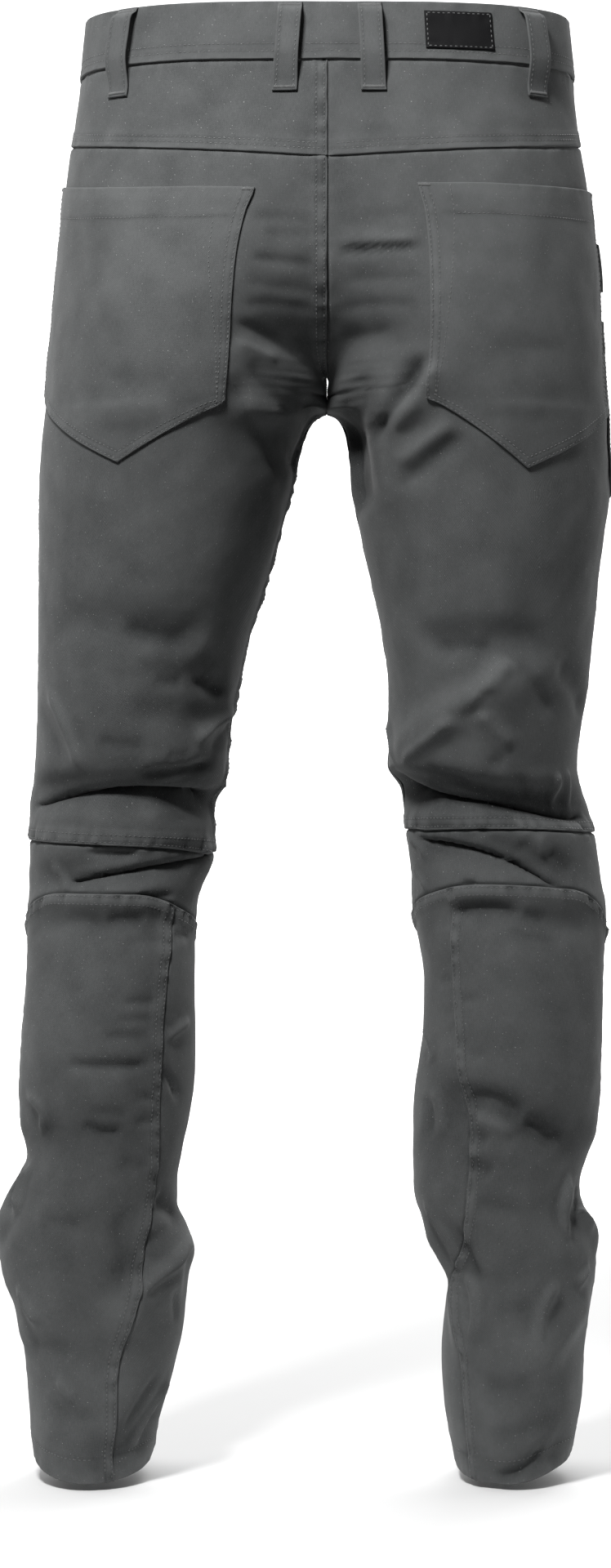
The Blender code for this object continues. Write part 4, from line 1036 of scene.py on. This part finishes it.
def waistband():
    """Back part from side seam to side seam, and two front parts that overlap at the centre."""
    downs = fine_lines(BAND_SEAM - BAND_TOP) * (BAND_SEAM - SEAM_GAP - BAND_TOP) + BAND_TOP
    turns = fine_lines(HALF_WAIST, close=(False, True)) * (1 - BAND_SIDE_GAP)
    u, down = np.meshgrid(turns, downs)
    left = ("left", u[:, ::-1], down[:, ::-1], BAND_LIFT)
    right = ("right", u[:, 1:], down[:, 1:], BAND_LIFT)
    styles = {"bottom": "band"}
    yield cloth_piece("waistband_back", [left, right], 1, styles, CLOTH + BAND_LIFT, 10)

    turns = 1 + BAND_SIDE_GAP + fine_lines(HALF_WAIST) * (1 - BAND_SIDE_GAP)
    u, down = np.meshgrid(turns, downs)
    blocks = [("right", u, down, BAND_LIFT)]
    yield cloth_piece("waistband_front_right", blocks, 1, styles, CLOTH + BAND_LIFT, 11)

    step_up = BAND_LIFT + CLOTH + SEAM_GAP
    turns = 1 + BAND_SIDE_GAP + fine_lines(HALF_WAIST, close=(True, False)) * (1 - BAND_SIDE_GAP)
    u, down = np.meshgrid(turns, downs)
    lift = BAND_LIFT + step_up * ease((u - OVERLAP_START) / 0.055)
    over = 2 - fine_lines(FRONT_OVERLAP, close=(False, True))[1:] * FRONT_OVERLAP / HALF_WAIST
    end_u, end_down = np.meshgrid(over, downs)
    blocks = [("left", u, down, lift), ("right", end_u, end_down, BAND_LIFT + step_up)]
    yield cloth_piece("waistband_front_left", blocks, -1, styles, CLOTH + BAND_LIFT, 12)


def belt_loops():
    """Folded strips sewn to the band's top edge and below its seam, standing off for a belt."""
    for name, side, top_x, foot_x, half, room in BELT_LOOPS:
        stand = BAND_LIFT + room
        profile = table(
            "down lift",
            (-19.4, BAND_LIFT + PATCH_LIFT), (-16.5, BAND_LIFT + 1.5), (-12, stand - LOOP_STEP),
            (-6, stand), (6, stand), (15, stand - LOOP_STEP / 2), (24, stand * 0.66),
            (31, 2.4), (36, PATCH_LIFT + 0.4), (42, PATCH_LIFT))
        ends = profile["down"][[0, -1]]
        down = ends[0] + fine_lines(ends[1] - ends[0]) * (ends[1] - ends[0])
        middle_x = top_x + (foot_x - top_x) * (down - down[0]) / (down[-1] - down[0])
        middle = u_at(side, middle_x, down, half)
        steps = (fine_lines(LOOP_WIDTH) - 0.5) * LOOP_WIDTH / HALF_WAIST
        u = middle[:, None] + steps[None, :]
        grid_down = np.repeat(down[:, None], len(steps), axis=1)
        lift = curve(grid_down.ravel(), profile["down"], profile["lift"]).reshape(u.shape) + LOOP_CLOTH
        sign = 1 if side == "left" else -1
        styles = {"left": "loop", "right": "loop"}
        yield cloth_piece(name, [(side, u, grid_down, lift)], -sign, styles, LOOP_CLOTH, 13)


def small_pieces():
    """Fly flap and the pocket on the right thigh."""
    edge = 2 - FLY_WIDTH / HALF_WAIST
    bottom = table("u down", *zip((edge, (edge + 2) / 2, 2), FLY_BOTTOM))
    rows = (level(BAND_SEAM + 1), u_line(bottom))
    u, down = lattice((level(edge), level(2.0)), fine_lines(FLY_WIDTH), rows, fine_lines(140))
    away = np.minimum((u - edge) * HALF_WAIST, u_line(bottom)(u.ravel()).reshape(u.shape) - down)
    lift = PATCH_LIFT + PATCH_CLOTH + (FLY_LIFT + 0.15) * ease(away / 7) - 0.15
    styles = {"left": "patch", "bottom": "patch"}
    yield cloth_piece("fly_flap", [("left", u, down, lift)], -1, styles, PATCH_CLOTH, 14)

    back_u, front_u = THIGH_POCKET_U
    bottom = table("u down", (back_u, 296), (0.97, 306), (1.05, 309), (1.3, 309), (front_u, 303))
    top = table("u down", *zip(THIGH_POCKET_U, THIGH_POCKET_TOP))
    rows = (u_line(top), u_line(bottom))
    u, down = lattice((level(back_u), level(front_u)), fine_lines(110), rows, fine_lines(120))
    away = np.minimum(u - back_u, front_u - u) * CREASE_HALF_TURN
    away = np.minimum(away, u_line(bottom)(u.ravel()).reshape(u.shape) - down)
    lift = PATCH_LIFT + PATCH_CLOTH + (THIGH_POCKET_LIFT + 0.15) * ease(away / 7) - 0.15
    styles = {"top": "turned", "bottom": "patch", "left": "patch", "right": "patch"}
    yield cloth_piece("thigh_pocket", [("right", u, down, lift)], 1, styles, PATCH_CLOTH, 15)


def label_piece():
    """The label patch on the waistband."""
    ends = [u_at("right", x, 0.0)[0] for x in LABEL_X]
    across = ends[0] + fine_lines(LABEL_X[1] - LABEL_X[0]) * (ends[1] - ends[0])
    downs = LABEL_DOWN[0] + fine_lines(LABEL_DOWN[1] - LABEL_DOWN[0]) * (LABEL_DOWN[1] - LABEL_DOWN[0])
    u, down = np.meshgrid(across, downs)
    lift = BAND_LIFT + PATCH_LIFT + LABEL_CLOTH + 0.3
    return cloth_piece("label_patch", [("right", u, down, lift)], 1, {}, LABEL_CLOTH, 16)


def button():
    """The shank button on the band's overlap: a rolled rim, a dished face and a small boss."""
    profile = ((5.0, 0.0), (7.2, 0.1), (8.1, 0.5), (8.5, 1.1), (8.4, 1.8), (7.9, 2.35), (7.2, 2.6),
               (6.5, 2.45), (6.0, 2.0), (5.5, 1.8), (4.2, 1.75), (2.8, 1.85), (2.2, 2.1), (1.2, 2.25))
    u = np.array([2 - BUTTON_INSET / HALF_WAIST])
    place = smooth_cloth("right", u, np.zeros(1))[0]
    place[1] -= BAND_LIFT * 2 + CLOTH + SEAM_GAP + BUTTON_CLEAR
    turns = np.arange(BUTTON_SIDES) * 2 * math.pi / BUTTON_SIDES
    rings = [np.stack([r * np.cos(turns), np.full_like(turns, -h), r * np.sin(turns)], axis=1)
             for r, h in profile]
    ends = np.array([[0, 0, 0], [0, -2.3, 0]], float)
    points = np.concatenate([*rings, ends]) + place
    k = np.arange(BUTTON_SIDES)
    n = (k + 1) % BUTTON_SIDES
    quads = []
    for ring in range(len(profile) - 1):
        a, b = ring * BUTTON_SIDES, (ring + 1) * BUTTON_SIDES
        quads.append(np.stack([a + k, b + k, b + n, a + n], axis=1))
    last = (len(profile) - 1) * BUTTON_SIDES
    base, top = np.full_like(k, len(points) - 2), np.full_like(k, len(points) - 1)
    fans = np.concatenate([np.stack([base, k, n], axis=1), np.stack([last + k, top, last + n], axis=1)])
    item = make_mesh("shank_button", points, [np.concatenate(quads), fans], metal_material())
    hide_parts("waist_button")


def add(tree, kind, settings=None, **inputs):
    """A shader node with its inputs set to values or joined to other nodes' outputs."""
    item = tree.nodes.new(kind)
    for name, value in (settings or {}).items():
        setattr(item, name, value)
    for name, value in inputs.items():
        socket = item.inputs[int(name[1:])] if name[0] == "n" and name[1:].isdigit() else item.inputs[name]
        if isinstance(value, bpy.types.NodeSocket):
            tree.links.new(value, socket)
        else:
            socket.default_value = value
    return item


def attribute(tree, name, output):
    """Reads a number or a vector stored on the mesh."""
    return add(tree, "ShaderNodeAttribute", {"attribute_name": name}).outputs[output]


def stretched(tree, vector, scale):
    """A vector scaled along each axis."""
    return add(tree, "ShaderNodeVectorMath", {"operation": "MULTIPLY"}, n0=vector, n1=scale).outputs[0]


def cloud(tree, vector, scale, detail=2.0):
    """Noise between about 0.25 and 0.75."""
    return add(tree, "ShaderNodeTexNoise", Vector=vector, Scale=scale, Detail=detail).outputs[0]


def weighted(tree, value, weight, total):
    """total + weight * value"""
    settings = {"operation": "MULTIPLY_ADD"}
    return add(tree, "ShaderNodeMath", settings, n0=value, n1=weight, n2=total).outputs[0]


def plus(tree, value, weight, total):
    """total + weight * (value - 0.5)"""
    part = add(tree, "ShaderNodeMath", {"operation": "SUBTRACT"}, n0=value, n1=0.5).outputs[0]
    return weighted(tree, part, weight, total)


def tone(tree, factor, dark, light):
    """A colour between two, by a number from 0 to 1."""
    ramp = add(tree, "ShaderNodeValToRGB", Fac=factor)
    ramp.color_ramp.elements[0].color = (*dark, 1)
    ramp.color_ramp.elements[1].color = (*light, 1)
    return ramp.outputs[0]


def raised(tree, height, depth, strength):
    """Fine relief of a surface, with its depth in millimetres."""
    return add(tree, "ShaderNodeBump", Height=height, Distance=depth * MM, Strength=strength).outputs[0]


def start_material(name, roughness, metallic=0.0):
    """A material with its Principled shader and node tree."""
    material = bpy.data.materials.new(name)
    material.use_nodes = True
    shader = material.node_tree.nodes["Principled BSDF"]
    shader.inputs["Roughness"].default_value = roughness
    shader.inputs["Metallic"].default_value = metallic
    return material, material.node_tree, shader


def cloth_material():
    """Worn grey cotton twill: diagonal ribs, uneven yarn, a mottled tone, pale lint and rubbed seams, with
    painted shade in the folds, puckers and stitch grooves and painted light on the fold ridges.
    """
    material, tree, shader = start_material("riding_cloth", 0.93)
    place = attribute(tree, "weave", "Vector")
    ribs = add(tree, "ShaderNodeTexWave", {"bands_direction": "DIAGONAL"}, Vector=place, Scale=0.5,
               Distortion=1.6, Detail=2.0, **{"Detail Scale": 1.5}).outputs[1]
    warp = cloud(tree, stretched(tree, place, (1.7, 0.22, 1)), 1.0)
    weft = cloud(tree, stretched(tree, place, (0.25, 1.5, 1)), 1.0)
    fine = cloud(tree, place, 1.1, 3.0)
    body = add(tree, "ShaderNodeTexCoord").outputs["Object"]
    patches = cloud(tree, body, 42.0, 3.0)
    fields = cloud(tree, body, 11.0)
    total = plus(tree, patches, 0.75, 0.5)
    for value, weight in ((fields, 0.5), (warp, 0.55), (weft, 0.3), (fine, 0.45), (ribs, 0.16)):
        total = plus(tree, value, weight, total)
    total = weighted(tree, attribute(tree, "wear", "Fac"), 0.3, total)
    # Painted shade along the stitch rows' grooves
    total = weighted(tree, attribute(tree, "groove_shade", "Fac"), -0.28, total)
    # Painted shade in the creases, troughs and puckers and lighter ridges, the ridges partly painted light
    # and partly rubbed by wear
    stands = attribute(tree, "relief", "Fac")
    painted_shade_factor = add(tree, "ShaderNodeMapRange", Value=stands, **{"From Min": -9.0, "From Max": 3.0}).outputs[0]
    total = plus(tree, painted_shade_factor, 0.6, total)
    color = tone(tree, total, CLOTH_DARK, CLOTH_LIGHT)
    lint = add(tree, "ShaderNodeMapRange", Value=cloud(tree, place, 0.9, 0.0),
               **{"From Min": 0.8, "From Max": 0.84}).outputs[0]
    pale = add(tree, "ShaderNodeMix", {"data_type": "RGBA"}, n0=lint, n6=color, n7=(*CLOTH_LINT, 1))
    tree.links.new(pale.outputs[2], shader.inputs["Base Color"])
    height = plus(tree, warp, 0.5, ribs)
    height = plus(tree, weft, 0.4, height)
    height = plus(tree, fine, 0.8, height)
    tree.links.new(raised(tree, height, 0.1, 0.7), shader.inputs["Normal"])
    shader.inputs["Sheen Weight"].default_value = 0.08
    shader.inputs["Sheen Roughness"].default_value = 0.4
    shader.inputs["Specular IOR Level"].default_value = 0.1
    return material


def thread_material():
    """Grey sewing thread with its twist, a little lighter than the cloth."""
    material, tree, shader = start_material("sewing_thread", 0.6)
    body = add(tree, "ShaderNodeTexCoord").outputs["Object"]
    twist = add(tree, "ShaderNodeTexWave", {"bands_direction": "DIAGONAL"}, Vector=body, Scale=900.0,
                Distortion=0.6).outputs[1]
    age = cloud(tree, body, 120.0)
    color = tone(tree, plus(tree, age, 0.9, plus(tree, twist, 0.3, 0.5)), THREAD_DARK, THREAD_LIGHT)
    tree.links.new(color, shader.inputs["Base Color"])
    tree.links.new(raised(tree, twist, 0.05, 0.6), shader.inputs["Normal"])
    shader.inputs["Sheen Weight"].default_value = 0.2
    return material


def label_material():
    """Black patch of dense fine ribs, a little smoother than the cloth."""
    material, tree, shader = start_material("label_cloth", 0.62)
    place = attribute(tree, "weave", "Vector")
    ribs = add(tree, "ShaderNodeTexWave", Vector=place, Scale=0.62, Distortion=0.5).outputs[1]
    grain = cloud(tree, place, 1.6, 3.0)
    total = plus(tree, grain, 0.9, plus(tree, ribs, 0.25, 0.4))
    tree.links.new(tone(tree, total, LABEL_DARK, LABEL_LIGHT), shader.inputs["Base Color"])
    tree.links.new(raised(tree, plus(tree, grain, 0.8, ribs), 0.08, 0.6), shader.inputs["Normal"])
    shader.inputs["Sheen Weight"].default_value = 0.01
    shader.inputs["Specular IOR Level"].default_value = 0.1
    return material


def metal_material():
    """Dull dark metal with fine scratches and a greyer, rougher bloom."""
    material, tree, shader = start_material("dull_metal", 0.4, 1.0)
    body = add(tree, "ShaderNodeTexCoord").outputs["Object"]
    bloom = cloud(tree, body, 450.0, 4.0)
    scratches = cloud(tree, stretched(tree, body, (3000.0, 3000.0, 220.0)), 1.0, 3.0)
    tree.links.new(tone(tree, bloom, (0.12, 0.12, 0.125), (0.34, 0.34, 0.35)), shader.inputs["Base Color"])
    rough = add(tree, "ShaderNodeMapRange", Value=bloom, **{"To Min": 0.3, "To Max": 0.6}).outputs[0]
    tree.links.new(rough, shader.inputs["Roughness"])
    tree.links.new(raised(tree, scratches, 0.03, 0.4), shader.inputs["Normal"])
    return material


def floor_material():
    """Plain pale studio floor."""
    material, tree, shader = start_material("studio_floor", 0.95)
    shader.inputs["Base Color"].default_value = (0.8, 0.8, 0.8, 1)
    shader.inputs["Specular IOR Level"].default_value = 0.1
    return material


# Colours, camera and studio in metres
CLOTH_DARK = (0.038, 0.040, 0.0405)
CLOTH_LIGHT = (0.108, 0.1115, 0.112)
CLOTH_LINT = (0.24, 0.245, 0.24)
THREAD_DARK = (0.045, 0.047, 0.047)
THREAD_LIGHT = (0.16, 0.164, 0.164)
LABEL_DARK = (0.003, 0.003, 0.0034)
LABEL_LIGHT = (0.013, 0.013, 0.014)
CAMERA_PLACE = (0.0148, 3.0, -0.5084)
CAMERA_LENS = 98.7
FLOOR_DROP = 0.003
FLOOR_REACH = 1.6
FLOOR_FRONT = 0.3
WORLD_BEHIND = 1.8
WORLD_CAMERA_SIDE = 0.07


def camera():
    """The photograph's view, from behind and level."""
    data = bpy.data.cameras.new("camera")
    data.lens = CAMERA_LENS
    data.clip_start = 0.1
    item = bpy.data.objects.new("camera", data)
    item.location = CAMERA_PLACE
    item.rotation_euler = (math.radians(90), 0, math.radians(180))
    bpy.context.scene.collection.objects.link(item)
    bpy.context.scene.camera = item


def area_light(name, place, target, size, power):
    """A soft square light that faces a point."""
    data = bpy.data.lights.new(name, "AREA")
    data.shape = "SQUARE"
    data.size = size
    data.energy = power
    item = bpy.data.objects.new(name, data)
    item.location = place
    item.rotation_euler = (Vector(target) - Vector(place)).to_track_quat("-Z", "Y").to_euler()
    bpy.context.scene.collection.objects.link(item)


def surroundings():
    """A room that is white on the far side of the garment and dimmer on the camera's side."""
    world = bpy.data.worlds.new("studio")
    bpy.context.scene.world = world
    world.use_nodes = True
    tree = world.node_tree
    way = add(tree, "ShaderNodeSeparateXYZ", Vector=add(tree, "ShaderNodeTexCoord").outputs["Generated"])
    ends = {"From Min": -0.4, "From Max": 0.05, "To Min": WORLD_BEHIND, "To Max": WORLD_CAMERA_SIDE}
    strength = add(tree, "ShaderNodeMapRange", Value=way.outputs[1], **ends)
    back = tree.nodes["Background"]
    back.inputs["Color"].default_value = (1.0, 1.0, 1.0, 1.0)
    tree.links.new(strength.outputs[0], back.inputs["Strength"])


# Lights: place, aim and size in metres, and power in watts
KEY_LIGHT = ((0.46, 1.22, 0.9), (0.02, 0.05, -0.3), 0.36, 45)
FRONT_LIGHT = ((-0.5, -1.5, 1.1), (0, -0.2, -0.7), 1.2, 26)


def studio():
    """White surroundings, a pale floor, a key light above the camera's side and a weaker one in front."""
    bpy.context.scene.view_settings.view_transform = "Standard"
    surroundings()
    area_light("key", *KEY_LIGHT)
    area_light("front", *FRONT_LIGHT)
    floor = bpy.data.meshes.new("floor")
    z = CAD_BOX[0].z - FLOOR_DROP
    reach = FLOOR_REACH
    corners = [(-reach, -reach, z), (reach, -reach, z), (reach, FLOOR_FRONT, z), (-reach, FLOOR_FRONT, z)]
    floor.from_pydata(corners, [], [(0, 1, 2, 3)])
    floor.materials.append(floor_material())
    item = bpy.data.objects.new("floor", floor)
    bpy.context.scene.collection.objects.link(item)


def pocket_strip(piece, side):
    """The stitch line beside the back pocket's inner edge, which runs closer to it lower down."""
    gaps = {"left": ((24, 20), (50, 18), (85, 13), (110, 10), (140, 7)),
            "right": ((0, 22), (45, 17), (85, 13), (110, 11), (136, 8))}
    first = gaps[side][0][0]
    return [seam_row(piece, "left", gaps[side], first=first + 1, last=4)]


def tacks(piece):
    """Short dense rows of stitches where a piece is fixed."""
    name = piece["name"]
    if name.startswith("belt_loop"):
        return [seam_row(piece, "top", 3.2, 1.6, 1.6), seam_row(piece, "bottom", 2.6, 1.6, 1.6)]
    if name.startswith("back_pocket"):
        path, facing, run, ends = seam_row(piece, "top", 1.8, 0.8, 0.8)
        inner = (path, facing, run, np.array([0.8, 9.0]))
        outer = (path, facing, run, np.array([run[-1] - 9.0, run[-1] - 0.8]))
        return [inner, outer]
    if name.startswith("front_panel"):
        return [seam_row(piece, "left", 1.2, 144, 0)[:3] + (np.array([142.0, 152.0]),)]
    return []


def main():
    cloth = cloth_material()
    thread = thread_material()
    pieces = list(waistband()) + list(belt_loops()) + list(small_pieces())
    for side in ("left", "right"):
        pieces += list(back_pieces(side)) + list(front_pieces(side))
    for piece in pieces:
        name = piece["name"]
        shell(piece, cloth)
        rows = style_rows(piece)
        if name.startswith("back_pocket"):
            rows += pocket_strip(piece, name.split("_")[-1])
        if rows:
            sewing("stitches_" + name, rows, thread)
        dense = tacks(piece)
        if dense:
            sewing("tacks_" + name, dense, thread, TACK, turned=True)
    label = label_piece()
    shell(label, label_material())
    border = [seam_row(label, edge, 1.6, 1.6, 1.6) for edge in ("top", "bottom", "left", "right")]
    sewing("stitches_label", border, thread)
    button()
    camera()
    studio()


main()
